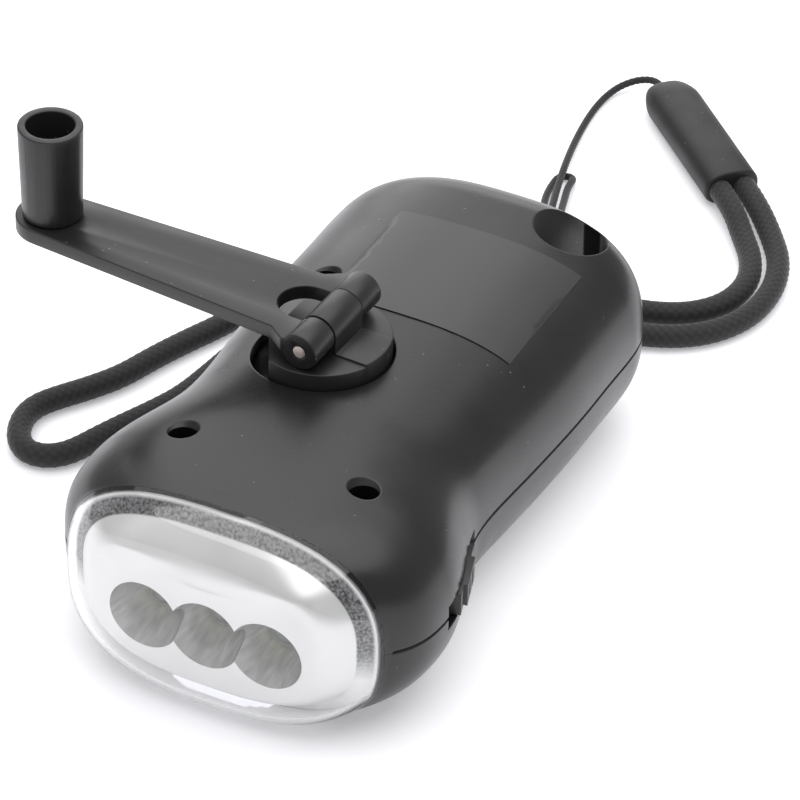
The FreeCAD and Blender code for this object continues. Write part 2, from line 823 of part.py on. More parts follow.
def build_case_screws():
    screws = []
    for x, y in screw_places():
        seat_z = seam_z + screw_seat_height
        head = cylinder(screw_head_radius, screw_head_height, Vec(x, y, seat_z))
        shank = cylinder(screw_radius, screw_length, Vec(x, y, seat_z - screw_length))
        screw = head.fuse(shank).removeSplitter()
        screws.append(screw.cut(driver_cross(x, y, seat_z, screw_head_radius, screw_head_height)))
    return Part.makeCompound(screws)


def build_slider():
    inner = -flange_setback
    base = switch_block(slider_length, slider_height, inner, slider_proud)
    ridge = switch_block(ridge_length, slider_height, slider_proud, slider_proud + ridge_height)
    flange = switch_block(slider_length + 2 * flange_extra, slot_height + 2 * flange_extra,
                          inner - flange_thickness, inner)
    lever = switch_block(lever_size, lever_size, inner - flange_thickness - lever_reach, inner - flange_thickness)
    slider = base.fuse([ridge, flange, lever])
    for shift in (-groove_offset, groove_offset):
        groove = switch_block(groove_width, groove_height, slider_proud + ridge_height - groove_depth,
                              slider_proud + ridge_height + groove_depth, shift)
        slider = slider.cut(groove)
    return slider.removeSplitter()


def build_switch_box():
    outer = -flange_setback - flange_thickness - switch_box_gap
    body = switch_block(switch_box_length, switch_box_height, outer - switch_box_depth, outer)
    channel = switch_block(2 * (switch_travel + lever_side_play) + lever_size, lever_size + 2 * lever_height_play,
                           outer - lever_reach - lever_end_play, outer)
    return body.cut(channel)


def build_cell(index):
    start_x = battery_x - battery_length() / 2 + index * cell_length
    start = Vec(start_x, front_y + battery_station, battery_floor + cell_radius)
    return cylinder(cell_radius, cell_length, start, Vec(1, 0, 0))


def build_sleeve():
    start = Vec(battery_x - battery_length() / 2, front_y + battery_station, battery_floor + cell_radius)
    inner = cell_radius + sleeve_gap
    sleeve = cylinder(inner + sleeve_wall, battery_length(), start, Vec(1, 0, 0))
    return sleeve.cut(cylinder(inner, battery_length(), start, Vec(1, 0, 0)))


def build_board():
    y = front_y + board_front_station
    return box((-board_half_width, y, board_level),
               (board_half_width, y + board_depth, board_level + board_thickness))


def build_diodes():
    y = front_y + board_front_station + board_depth / 2
    first = -diode_spacing * (diode_count - 1) / 2
    diodes = []
    for index in range(diode_count):
        base = Vec(first + index * diode_spacing, y - diode_length / 2, board_level + board_thickness + diode_radius)
        diodes.append(cylinder(diode_radius, diode_length, base, Vec(0, 1, 0)))
    return Part.makeCompound(diodes)


def build_label():
    # The sticker follows the crown of the case.
    wires = []
    for station in (label_front_station, (label_front_station + label_rear_station) / 2, label_rear_station):
        half_width, half_height = case_section(station, 0)
        y = front_y + station

        def crown(x, lift):
            rise = (1 - abs(x / half_width) ** case_exponent) ** (1 / case_exponent)
            return Vec(x, y, seam_z + half_height * rise + lift)

        xs = [label_right + (label_left - label_right) * step / label_steps for step in range(label_steps + 1)]
        low = Part.BSplineCurve()
        low.interpolate([crown(x, label_lift) for x in xs])
        high = Part.BSplineCurve()
        high.interpolate([crown(x, label_lift + label_thickness) for x in reversed(xs)])
        ends = [Part.makeLine(crown(label_left, label_lift), crown(label_left, label_lift + label_thickness)),
                Part.makeLine(crown(label_right, label_lift + label_thickness), crown(label_right, label_lift))]
        wires.append(Part.Wire([low.toShape(), ends[0], high.toShape(), ends[1]]))
    return Part.makeLoft(wires, True, False)


# Wrist strap routes, chosen by hand. The strap lies on the table behind the case.
thin_cord_z = thin_cord_diameter / 2 + cord_rise
wrist_cord_z = wrist_cord_diameter / 2 + cord_rise
cap_z = cap_half_height + cord_rise
bar_y = front_y + case_length - strap_bar_setback
bar_rear_y = bar_y + strap_bar_radius
bar_side_x = strap_bar_radius + thin_cord_diameter / 2 + cord_rise
cap_front = Vec(cap_start[0], cap_start[1], cap_z)
cap_rear = Vec(cap_end[0], cap_end[1], cap_z)
cap_along = (cap_rear - cap_front).normalize()
cap_across = Vec(-cap_along.y, cap_along.x, 0)
strand_shift = cap_across * ((wrist_cord_diameter + strand_gap) / 2)


def thin_route():
    return [
        Vec(0, bar_rear_y, seam_z), Vec(0, 53.0, seam_z), Vec(-1.6, 58.5, 15.0), Vec(-3.4, 64.5, 11.6),
        Vec(-5.4, 70.5, 8.5), Vec(-7.2, 76.8, 5.6), Vec(-9.0, 82.5, 3.8), Vec(-11.1, 88.8, 3.0),
        Vec(-12.4, 93.2, 2.6), Vec(-13.7, 97.9, 2.3), Vec(-15.3, 103.9, 1.5), Vec(-16.7, 110.1, 0.8),
        Vec(-17.6, 116.5, thin_cord_z), Vec(-17.7, 121.7, 0.8), Vec(-16.9, 125.4, 1.2), Vec(-15.4, 127.4, 1.8),
        Vec(-13.5, 128.6, 2.4), Vec(-11.3, 128.8, 2.9), cap_front - cap_along * 2.4, cap_front]


def hitch_route():
    # The loop of the hitch goes up one side of the thin cord, under it and back down the other side.
    return [
        Vec(-bar_side_x, bar_y, seam_z), Vec(-2.0, 53.0, 16.6), Vec(-3.8, 59.0, 14.0), Vec(-5.6, 65.0, 10.4),
        Vec(-7.6, 71.4, 6.8), Vec(-9.6, 77.8, 4.0), Vec(-11.3, 84.4, 2.3), Vec(-12.8, 88.2, 1.6),
        Vec(-13.7, 91.6, 1.1), Vec(-14.1, 94.2, 0.75), Vec(-14.2, 95.8, 0.72), Vec(-13.8, 96.9, 0.72),
        Vec(-12.7, 97.3, 0.8), Vec(-11.6, 96.9, 0.95), Vec(-11.2, 95.8, 1.3), Vec(-10.9, 94.2, 1.7),
        Vec(-10.4, 91.9, 2.1), Vec(-9.1, 88.1, 2.8), Vec(-7.5, 83.2, 3.9), Vec(-4.7, 76.2, 6.1),
        Vec(-2.8, 69.5, 9.0), Vec(-1.2, 63.6, 12.2), Vec(0.8, 58.2, 15.2), Vec(1.9, 53.0, 16.8),
        Vec(bar_side_x, bar_y, seam_z)]


def wrist_route():
    z = wrist_cord_z
    return [
        cap_rear + strand_shift, cap_rear + strand_shift + cap_along * 6.0,
        Vec(26.0, 95.6, z), Vec(30.4, 89.0, z), Vec(32.6, 80.5, z), Vec(31.8, 71.4, z), Vec(27.0, 63.8, z),
        Vec(18.8, 59.4, z), Vec(7.0, 57.4, z), Vec(-6.0, 56.4, z), Vec(-18.5, 53.0, z), Vec(-28.5, 45.5, z),
        Vec(-34.6, 35.0, z), Vec(-37.6, 25.6, z), Vec(-38.5, 17.2, z), Vec(-39.6, 9.3, z), Vec(-41.8, 3.4, z),
        Vec(-44.3, -2.2, z), Vec(-46.3, -7.2, z), Vec(-47.4, -10.3, z), Vec(-48.9, -13.1, z),
        Vec(-51.4, -15.0, z), Vec(-54.5, -15.1, z), Vec(-57.0, -13.1, z), Vec(-58.6, -10.2, z),
        Vec(-59.4, -7.0, z), Vec(-59.0, -3.8, z), Vec(-57.4, -0.8, z), Vec(-53.9, 4.2, z), Vec(-50.9, 9.5, z),
        Vec(-48.9, 16.1, z), Vec(-46.3, 22.9, z), Vec(-43.4, 29.5, z), Vec(-40.2, 39.6, z),
        Vec(-35.4, 48.4, z), Vec(-27.0, 56.4, z), Vec(-16.4, 61.2, z), Vec(-5.0, 63.6, z), Vec(6.0, 64.4, z),
        Vec(16.0, 65.4, z), Vec(23.0, 68.6, z), Vec(27.2, 74.2, z), Vec(28.0, 81.4, z), Vec(25.6, 88.0, z),
        Vec(21.6, 93.4, z), cap_rear - strand_shift + cap_along * 6.0, cap_rear - strand_shift]


def cord_path(points):
    # Straight runs joined by tangent arcs, each as large as its two runs allow.
    edges = []
    radii = []
    start = points[0]
    for before, corner, after in zip(points, points[1:], points[2:]):
        inward = (corner - before).normalize()
        outward = (after - corner).normalize()
        turn = inward.getAngle(outward)
        if turn < cord_straight:
            continue
        shorter = min((corner - before).Length, (after - corner).Length)
        trim = cord_arc_share * shorter
        radii.append(trim / math.tan(turn / 2))
        arc_start = corner - inward * trim
        arc_end = corner + outward * trim
        to_centre = (outward - inward).normalize()
        middle = corner + to_centre * (radii[-1] / math.cos(turn / 2) - radii[-1])
        edges.append(Part.makeLine(start, arc_start))
        edges.append(Part.Arc(arc_start, middle, arc_end).toShape())
        start = arc_end
    edges.append(Part.makeLine(start, points[-1]))
    return Part.Wire(edges), radii


def build_cord(points, diameter, name):
    path, radii = cord_path(points)
    start_direction = points[1] - points[0]
    profile = Part.Wire(Part.makeCircle(diameter / 2, points[0], start_direction))
    cord = path.makePipeShell([profile], True, False)
    expected = math.pi * diameter ** 2 / 4 * path.Length
    print(name, "length", round(path.Length, 1), "radii", [round(radius, 1) for radius in radii],
          "volume against section times length", round(cord.Volume / expected, 4))
    return cord


def build_strap_cap():
    def oval(centre, half_width, half_height):
        points = []
        for step in range(cap_oval_steps):
            angle = 2 * math.pi * step / cap_oval_steps
            across = math.copysign(abs(math.cos(angle)) ** cap_oval_power, math.cos(angle))
            rise = math.copysign(abs(math.sin(angle)) ** cap_oval_power, math.sin(angle))
            points.append(centre + cap_across * (half_width * across) + Vec(0, 0, half_height * rise))
        curve = Part.BSplineCurve()
        curve.interpolate(Points=points, PeriodicFlag=True)
        return Part.Wire(curve.toShape())

    shoulder = cap_front + cap_along * cap_taper_length
    rounding = cap_rear - cap_along * cap_edge_round
    ovals = [oval(cap_front, cap_front_half_width, cap_front_half_height),
             oval(shoulder, cap_half_width, cap_half_height),
             oval(rounding, cap_half_width, cap_half_height),
             oval(cap_rear, cap_half_width - cap_edge_round, cap_half_height - cap_edge_round)]
    lofts = [Part.makeLoft([low, high], True, True) for low, high in zip(ovals, ovals[1:])]
    return lofts[0].fuse(lofts[1:])


def save_all():
    save(build_upper_shell(), "upper_shell")
    save(build_lower_shell(), "lower_shell")
    save(build_lens_cover(), "lens_cover")
    save(build_reflector(), "reflector")
    for name, (x, z) in zip(("led_left", "led_middle", "led_right"), lamp_places()):
        save(build_lamp(x, z), name)
    save(build_lamp_board(), "led_board")
    save(build_crank_hub(), "crank_hub")
    save(build_crank_arm(), "crank_arm")
    save(build_hinge_pin(), "hinge_pin")
    save(build_crank_knob(), "crank_knob")
    save(build_knob_stud(), "knob_stud")
    save(build_drive_gear(), "drive_gear")
    save(build_hub_screw(), "hub_screw")
    first_phase = meshed_phase(drive_teeth, 0, step_one_bearing)
    second_phase = meshed_phase(wheel_one_teeth, 0, step_two_bearing)
    rotor_phase = meshed_phase(wheel_two_teeth, 0, rotor_bearing)
    save(build_step_gear(step_one_centre, wheel_one_teeth, wheel_one_z, first_phase), "step_gear_one")
    save(build_step_gear(step_two_centre, wheel_two_teeth, wheel_two_z, second_phase), "step_gear_two")
    save(build_axle(step_one_centre, boss_one_z), "axle_one")
    save(build_axle(step_two_centre, boss_two_z), "axle_two")
    save(build_rotor_pinion(rotor_phase), "rotor_pinion")
    save(build_magnet(), "rotor_magnet")
    save(build_rotor_shaft(), "rotor_shaft")
    save(build_stator(), "stator_coil")
    save(build_gearbox_plate(), "gearbox_plate")
    save(build_case_screws(), "case_screws")
    save(build_slider(), "switch_slider")
    save(build_switch_box(), "switch_box")
    for index in range(cell_count):
        save(build_cell(index), "battery_cell_" + str(index + 1))
    save(build_sleeve(), "battery_sleeve")
    save(build_board(), "circuit_board")
    save(build_diodes(), "diodes")
    save(build_label(), "label")
    save(strap_bar_shape(), "strap_bar")
    save(build_cord(thin_route(), thin_cord_diameter, "thin_cord"), "thin_cord")
    save(build_cord(hitch_route(), thin_cord_diameter, "cord_hitch"), "cord_hitch")
    save(build_cord(wrist_route(), wrist_cord_diameter, "wrist_cord"), "wrist_cord")
    save(build_strap_cap(), "strap_cap")


save_all()
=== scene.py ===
import math

import bmesh
import bpy
import numpy as np
from mathutils import Matrix, Vector


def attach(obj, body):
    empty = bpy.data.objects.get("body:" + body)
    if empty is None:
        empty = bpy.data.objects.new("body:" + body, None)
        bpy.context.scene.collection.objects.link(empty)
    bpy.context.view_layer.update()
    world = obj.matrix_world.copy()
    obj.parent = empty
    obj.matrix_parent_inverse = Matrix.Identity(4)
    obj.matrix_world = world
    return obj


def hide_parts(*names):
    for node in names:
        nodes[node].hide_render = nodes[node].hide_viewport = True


# Hand crank flashlight. Lengths are in metres; the settings give them in millimetres, times mm.
mm = 0.001
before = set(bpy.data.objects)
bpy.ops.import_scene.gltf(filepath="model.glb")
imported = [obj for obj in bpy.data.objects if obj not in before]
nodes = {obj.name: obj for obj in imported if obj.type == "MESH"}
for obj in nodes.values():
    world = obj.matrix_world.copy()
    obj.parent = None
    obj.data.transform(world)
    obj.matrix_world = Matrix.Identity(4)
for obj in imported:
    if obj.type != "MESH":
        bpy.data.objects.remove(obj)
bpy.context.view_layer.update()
print("stage: frame loaded")


# Meshes
def place(x, y, z):
    return Vector((x * mm, y * mm, z * mm))


def meshObject(name, vertices, faces, smoothAngle=40):
    mesh = bpy.data.meshes.new(name)
    mesh.from_pydata([tuple(v) for v in vertices], [], faces)
    mesh.validate()
    mesh.shade_smooth()
    mesh.set_sharp_from_angle(angle=math.radians(smoothAngle))
    piece = bpy.data.objects.new(name, mesh)
    bpy.context.scene.collection.objects.link(piece)
    return piece


def outwards(piece):
    work = bmesh.new()
    work.from_mesh(piece.data)
    bmesh.ops.remove_doubles(work, verts=work.verts, dist=1e-7)
    bmesh.ops.recalc_face_normals(work, faces=work.faces)
    work.to_mesh(piece.data)
    work.free()
    return piece


def loftRings(name, rings, closeStart=True, closeEnd=True, smoothAngle=40):
    # Rings of the same count are joined into a skin, each end closed by a fan.
    count = len(rings[0])
    vertices = [point for ring in rings for point in ring]
    faces = []
    for index in range(len(rings) - 1):
        low, high = index * count, (index + 1) * count
        for step in range(count):
            after = (step + 1) % count
            faces.append((low + step, low + after, high + after, high + step))
    for wanted, base in ((closeStart, 0), (closeEnd, (len(rings) - 1) * count)):
        if wanted:
            ring = vertices[base:base + count]
            vertices.append(sum(ring, Vector()) / count)
            faces += [(base + step, base + (step + 1) % count, len(vertices) - 1) for step in range(count)]
    piece = outwards(meshObject(name, vertices, faces, smoothAngle))
    piece.data.set_sharp_from_angle(angle=math.radians(smoothAngle))
    return piece


def applied(piece, name=None):
    # The evaluated piece as a plain mesh, its modifiers gone.
    graph = bpy.context.evaluated_depsgraph_get()
    mesh = bpy.data.meshes.new_from_object(piece.evaluated_get(graph))
    piece.modifiers.clear()
    old = piece.data
    piece.data = mesh
    if old.users == 0:
        bpy.data.meshes.remove(old)
    if name:
        piece.name = name
    return piece


def cutBy(piece, cutters):
    for cutter in cutters:
        boolean = piece.modifiers.new("cut", "BOOLEAN")
        boolean.operation = "DIFFERENCE"
        boolean.solver = "EXACT"
        boolean.material_mode = "TRANSFER"
        boolean.object = cutter
        applied(piece)
    for cutter in cutters:
        bpy.data.objects.remove(cutter)
    return piece


def nodeCopy(node, name, smoothAngle=30):
    work = bmesh.new()
    work.from_mesh(nodes[node].data)
    bmesh.ops.remove_doubles(work, verts=work.verts, dist=1e-7)
    mesh = bpy.data.meshes.new(name)
    work.to_mesh(mesh)
    work.free()
    mesh.materials.clear()
    mesh.shade_smooth()
    mesh.set_sharp_from_angle(angle=math.radians(smoothAngle))
    piece = bpy.data.objects.new(name, mesh)
    bpy.context.scene.collection.objects.link(piece)
    return piece


def softCopy(node, name, width, segments=3, smoothAngle=35):
    # A copy of a CAD piece whose flat faces are whole again and whose edges are rounded.
    piece = nodeCopy(node, name, smoothAngle)
    work = bmesh.new()
    work.from_mesh(piece.data)
    bmesh.ops.dissolve_limit(work, angle_limit=math.radians(1.0), verts=work.verts, edges=work.edges,
                             delimit={"NORMAL"})
    work.to_mesh(piece.data)
    work.free()
    bevel = piece.modifiers.new("soft edges", "BEVEL")
    bevel.width = width
    bevel.segments = segments
    bevel.limit_method = "ANGLE"
    bevel.angle_limit = math.radians(smoothAngle)
    bevel.use_clamp_overlap = True
    applied(piece)
    piece.data.shade_smooth()
    piece.data.set_sharp_from_angle(angle=math.radians(smoothAngle))
    return piece


def finishPiece(piece, material, body="case", stands=()):
    if material is not None:
        piece.data.materials.clear()
        piece.data.materials.append(material)
    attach(piece, body)
    if stands:
        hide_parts(*stands)
    return piece


# Materials
class Tree:
    def __init__(self, name):
        self.material = bpy.data.materials.new(name)
        self.material.use_nodes = True
        self.nodes = self.material.node_tree.nodes
        self.links = self.material.node_tree.links
        self.shader = self.nodes["Principled BSDF"]
        self.place = self.add("ShaderNodeTexCoord").outputs["Object"]

    def add(self, kind, inputs=None, **settings):
        node = self.nodes.new(kind)
        for key, value in settings.items():
            setattr(node, key, value)
        for key, value in (inputs or {}).items():
            if isinstance(value, bpy.types.NodeSocket):
                self.links.new(value, node.inputs[key])
            else:
                node.inputs[key].default_value = value
        return node

    def noise(self, scale, detail=2.0, where=None):
        spot = where or self.place
        return self.add("ShaderNodeTexNoise", {"Vector": spot, "Scale": scale, "Detail": detail})

    def remap(self, value, low, high, toLow, toHigh):
        node = self.add("ShaderNodeMapRange", {"Value": value, "From Min": low, "From Max": high,
                                               "To Min": toLow, "To Max": toHigh})
        return node.outputs["Result"]

    def mix(self, share, first, second):
        node = self.add("ShaderNodeMix", data_type="RGBA")
        for socket, value in ((0, share), (6, first), (7, second)):
            if isinstance(value, bpy.types.NodeSocket):
                self.links.new(value, node.inputs[socket])
            else:
                node.inputs[socket].default_value = value
        return node.outputs[2]

    def math(self, operation, first, second=0.0):
        node = self.add("ShaderNodeMath", {0: first, 1: second}, operation=operation)
        return node.outputs[0]

    def bump(self, height, strength, distance, normal=None):
        inputs = {"Height": height, "Strength": strength, "Distance": distance}
        if normal is not None:
            inputs["Normal"] = normal
        return self.add("ShaderNodeBump", inputs).outputs["Normal"]

    def feed(self, **inputs):
        for key, value in inputs.items():
            socket = self.shader.inputs[key.replace("_", " ")]
            if isinstance(value, bpy.types.NodeSocket):
                self.links.new(value, socket)
            else:
                socket.default_value = value
        return self.material


def grey(value, alpha=1.0):
    return (value, value, value * 1.03, alpha)


def mouldedPlastic(name, settings):
    # Satin plastic: faint mottling, fine orange peel, softened edges and a little dust.
    tree = Tree(name)
    mottle = tree.noise(settings["mottleScale"], 3).outputs["Fac"]
    colour = tree.mix(mottle, grey(settings["dark"]), grey(settings["light"]))
    specks = tree.add("ShaderNodeTexVoronoi", {"Vector": tree.place, "Scale": settings["dustScale"]})
    near = tree.remap(specks.outputs["Distance"], 0.05, 0.11, 1.0, 0.0)
    patch = tree.noise(settings["dustPatch"], 1).outputs["Fac"]
    some = tree.remap(patch, 0.55, 0.62, 0.0, settings["dustShare"])
    dust = tree.math("MULTIPLY", near, some)
    colour = tree.mix(dust, colour, grey(0.45))
    roughness = tree.remap(tree.noise(settings["mottleScale"] * 2.2).outputs["Fac"], 0.3, 0.7,
                           settings["roughness"] - 0.04, settings["roughness"] + 0.05)
    rough = tree.math("ADD", roughness, tree.math("MULTIPLY", dust, 0.4))
    edge = tree.add("ShaderNodeBevel", {"Radius": settings["edgeRadius"]}, samples=6).outputs["Normal"]
    grain = tree.noise(settings["grainScale"], 2).outputs["Fac"]
    normal = tree.bump(grain, settings["grainStrength"], settings["grainDepth"], edge)
    return tree.feed(Base_Color=colour, Roughness=rough, Normal=normal, IOR=1.5)


casePlastic = mouldedPlastic("case plastic", {
    "dark": 0.007, "light": 0.011, "mottleScale": 45, "roughness": 0.28,
    "grainScale": 2600, "grainStrength": 0.2, "grainDepth": 0.00003, "edgeRadius": 0.0004,
    "dustScale": 520, "dustPatch": 160, "dustShare": 0.25})
crankPlastic = mouldedPlastic("crank plastic", {
    "dark": 0.011, "light": 0.015, "mottleScale": 60, "roughness": 0.36,
    "grainScale": 3200, "grainStrength": 0.3, "grainDepth": 0.00003, "edgeRadius": 0.00015,
    "dustScale": 620, "dustPatch": 200, "dustShare": 0.3})
switchPlastic = mouldedPlastic("switch plastic", {
    "dark": 0.014, "light": 0.02, "mottleScale": 90, "roughness": 0.42,
    "grainScale": 3600, "grainStrength": 0.35, "grainDepth": 0.00003, "edgeRadius": 0.0001,
    "dustScale": 600, "dustPatch": 300, "dustShare": 0.2})
capPlastic = mouldedPlastic("cap plastic", {
    "dark": 0.006, "light": 0.009, "mottleScale": 80, "roughness": 0.5,
    "grainScale": 3000, "grainStrength": 0.3, "grainDepth": 0.00003, "edgeRadius": 0.0002,
    "dustScale": 500, "dustPatch": 260, "dustShare": 0.15})


def brushedSteel(name, base, roughness, streak):
    tree = Tree(name)
    stretched = tree.add("ShaderNodeMapping", {"Vector": tree.place, "Scale": streak}).outputs["Vector"]
    lines = tree.noise(900, 4, stretched).outputs["Fac"]
    colour = tree.mix(lines, (*[c * 0.85 for c in base], 1), (*base, 1))
    rough = tree.remap(lines, 0.3, 0.7, roughness - 0.06, roughness + 0.1)
    return tree.feed(Base_Color=colour, Metallic=1.0, Roughness=rough, Normal=tree.bump(lines, 0.2, 0.00002))


pinSteel = brushedSteel("pin steel", (0.95, 0.84, 0.79), 0.5, (1.0, 0.2, 1.0))
screwSteel = brushedSteel("screw steel", (0.6, 0.58, 0.56), 0.32, (1.0, 1.0, 0.3))
cellSteel = brushedSteel("cell steel", (0.72, 0.72, 0.74), 0.25, (0.2, 1.0, 1.0))


def plainPlastic(name, base, roughness, transmission=0.0, grainScale=900):
    tree = Tree(name)
    grain = tree.noise(grainScale, 2).outputs["Fac"]
    colour = tree.mix(grain, (*[c * 0.9 for c in base], 1), (*base, 1))
    return tree.feed(Base_Color=colour, Roughness=roughness, Transmission_Weight=transmission,
                     Normal=tree.bump(grain, 0.1, 0.00003))


gearNylon = plainPlastic("gear nylon", (0.84, 0.83, 0.77), 0.5)
boardGreen = plainPlastic("board green", (0.04, 0.2, 0.1), 0.45)
magnetGrey = plainPlastic("magnet grey", (0.12, 0.12, 0.13), 0.5)
coilCopper = brushedSteel("coil copper", (0.75, 0.38, 0.2), 0.35, (1.0, 1.0, 8.0))
sleeveGreen = plainPlastic("sleeve green", (0.08, 0.3, 0.16), 0.3)
diodeBlack = plainPlastic("diode black", (0.02, 0.02, 0.02), 0.35)
for material, members in (
        (gearNylon, ("drive_gear", "step_gear_one", "step_gear_two", "rotor_pinion", "gearbox_plate")),
        (screwSteel, ("hub_screw", "axle_one", "axle_two", "rotor_shaft", "case_screws", "knob_stud")),
        (cellSteel, ("battery_cell_1", "battery_cell_2", "battery_cell_3")),
        (boardGreen, ("led_board", "circuit_board")),
        (magnetGrey, ("rotor_magnet",)), (coilCopper, ("stator_coil",)), (sleeveGreen, ("battery_sleeve",)),
        (diodeBlack, ("diodes",)), (casePlastic, ("strap_bar",)), (switchPlastic, ("switch_box",))):
    for node in members:
        nodes[node].data.materials.clear()
        nodes[node].data.materials.append(material)
print("stage: plain materials")

# Camera: the photograph's viewing angle, a long lens turned a little about its own axis
camera = {"azimuth": 26.11, "elevation": 36.76, "roll": 1.28, "distance": 738.31, "across": 25.87,
          "upward": 29.69, "lens": 225.0, "sensor": 36.0, "aim": (0.0, -49.5, 17.0)}


def makeCamera():
    turn, lift, roll = (math.radians(camera[key]) for key in ("azimuth", "elevation", "roll"))
    right = Vector((math.cos(turn), math.sin(turn), 0))
    back = Vector((math.sin(turn) * math.cos(lift), -math.cos(turn) * math.cos(lift), math.sin(lift)))
    up = back.cross(right)
    across = right * math.cos(roll) + up * math.sin(roll)
    upward = up * math.cos(roll) - right * math.sin(roll)
    spot = across * camera["across"] + upward * camera["upward"] + back * camera["distance"]
    spot = (spot + Vector(camera["aim"])) * mm
    data = bpy.data.cameras.new("camera")
    data.lens = camera["lens"]
    data.sensor_width = camera["sensor"]
    data.clip_start = 0.05
    data.clip_end = 20
    eye = bpy.data.objects.new("camera", data)
    eye.matrix_world = Matrix((
        (across.x, upward.x, back.x, spot.x), (across.y, upward.y, back.y, spot.y),
        (across.z, upward.z, back.z, spot.z), (0, 0, 0, 1)))
    bpy.context.scene.collection.objects.link(eye)
    bpy.context.scene.camera = eye


studio = {"worldStrength": 0.45, "floorSize": 4.0, "floorWhite": 0.92, "floorGlow": 0.3,
          "lights": (("overhead", (0.0, 0.1, 1.0), (0.0, 0.05, 0.0), 1.6, 12.5),
                     ("back", (-0.55, 0.85, 0.6), (0.0, 0.0, 0.02), 0.9, 1.8),
                     ("low back", (-0.75, 1.5, 0.3), (0.0, 0.0, 0.02), 1.3, 4.0))}


def makeStudio():
    world = bpy.data.worlds.new("studio")
    world.use_nodes = True
    world.node_tree.nodes["Background"].inputs["Color"].default_value = (1, 1, 1, 1)
    world.node_tree.nodes["Background"].inputs["Strength"].default_value = studio["worldStrength"]
    bpy.context.scene.world = world
    half = studio["floorSize"] / 2
    floor = meshObject("floor", [(-half, -half, 0), (half, -half, 0), (half, half, 0), (-half, half, 0)],
                       [(0, 1, 2, 3)])
    tree = Tree("floor paint")
    soft = tree.noise(6, 2).outputs["Fac"]
    white = studio["floorWhite"]
    floor.data.materials.append(tree.feed(Base_Color=tree.mix(soft, grey(white * 0.99), grey(white)),
                                          Roughness=0.8, Emission_Color=grey(1.0),
                                          Emission_Strength=studio["floorGlow"]))
    for name, spot, aim, size, power in studio["lights"]:
        data = bpy.data.lights.new(name, "AREA")
        data.shape = "DISK"
        data.size = size
        data.energy = power
        lamp = bpy.data.objects.new(name, data)
        lamp.location = spot
        lamp.rotation_euler = (Vector(aim) - Vector(spot)).to_track_quat("-Z", "Y").to_euler()
        bpy.context.scene.collection.objects.link(lamp)
    bpy.context.scene.view_settings.view_transform = "Standard"


makeCamera()
makeStudio()
print("stage: camera and studio")


# Cords: the routes are given control points, in millimetres
thinCord = {"diameter": 1.3, "carriers": 4, "lay": 0.95, "around": 24, "step": 0.16, "relief": 0.08}
wristCord = {"diameter": 4.0, "carriers": 8, "lay": 1.5, "around": 48, "step": 0.3, "relief": 0.13}
cap = {"start": (-7.6, 126.0, 3.25), "end": (14.8, 104.2, 3.25), "halfWidth": 4.9, "halfHeight": 3.2,
       "frontHalfWidth": 3.6, "frontHalfHeight": 2.2, "taper": 5.0, "edge": 0.5, "strandGap": 0.4,
       "slotHalfWidth": 2.1, "slotHalfHeight": 0.95, "slotDepth": 2.2}
capStart, capEnd = Vector(cap["start"]), Vector(cap["end"])
capAlong = (capEnd - capStart).normalized()
capAcross = Vector((-capAlong.y, capAlong.x, 0))
strandShift = capAcross * ((wristCord["diameter"] + cap["strandGap"]) / 2)
thinZ, wristZ = 0.7, 2.05
thinRoute = [
    (0, 48.5, 17.0), (0, 53.0, 17.0), (-1.6, 58.5, 15.0), (-3.4, 64.5, 11.6), (-5.4, 70.5, 8.5),
    (-7.2, 76.8, 5.6), (-9.0, 82.5, 3.8), (-11.1, 88.8, 3.0), (-12.4, 93.2, 2.6), (-13.7, 97.9, 2.3),
    (-15.3, 103.9, 1.5), (-16.7, 110.1, 0.8), (-17.6, 116.5, thinZ), (-17.7, 121.7, 0.8),
    (-16.9, 125.4, 1.2), (-15.4, 127.4, 1.8), (-13.5, 128.6, 2.4), (-11.3, 128.8, 2.9),
    capStart - capAlong * 2.4, capStart]
hitchRoute = [
    (-1.9, 47.3, 17.0), (-2.0, 53.0, 16.6), (-3.8, 59.0, 14.0), (-5.6, 65.0, 10.4), (-7.6, 71.4, 6.8),
    (-9.6, 77.8, 4.0), (-11.3, 84.4, 2.3), (-12.8, 88.2, 1.6), (-13.7, 91.6, 1.1), (-14.1, 94.2, 0.75),
    (-14.2, 95.8, 0.72), (-13.8, 96.9, 0.72), (-12.7, 97.3, 0.8), (-11.6, 96.9, 0.95), (-11.2, 95.8, 1.3),
    (-10.9, 94.2, 1.7), (-10.4, 91.9, 2.1), (-9.1, 88.1, 2.8), (-7.5, 83.2, 3.9), (-4.7, 76.2, 6.1),
    (-2.8, 69.5, 9.0), (-1.2, 63.6, 12.2), (0.8, 58.2, 15.2), (1.9, 53.0, 16.8), (1.9, 47.3, 17.0)]
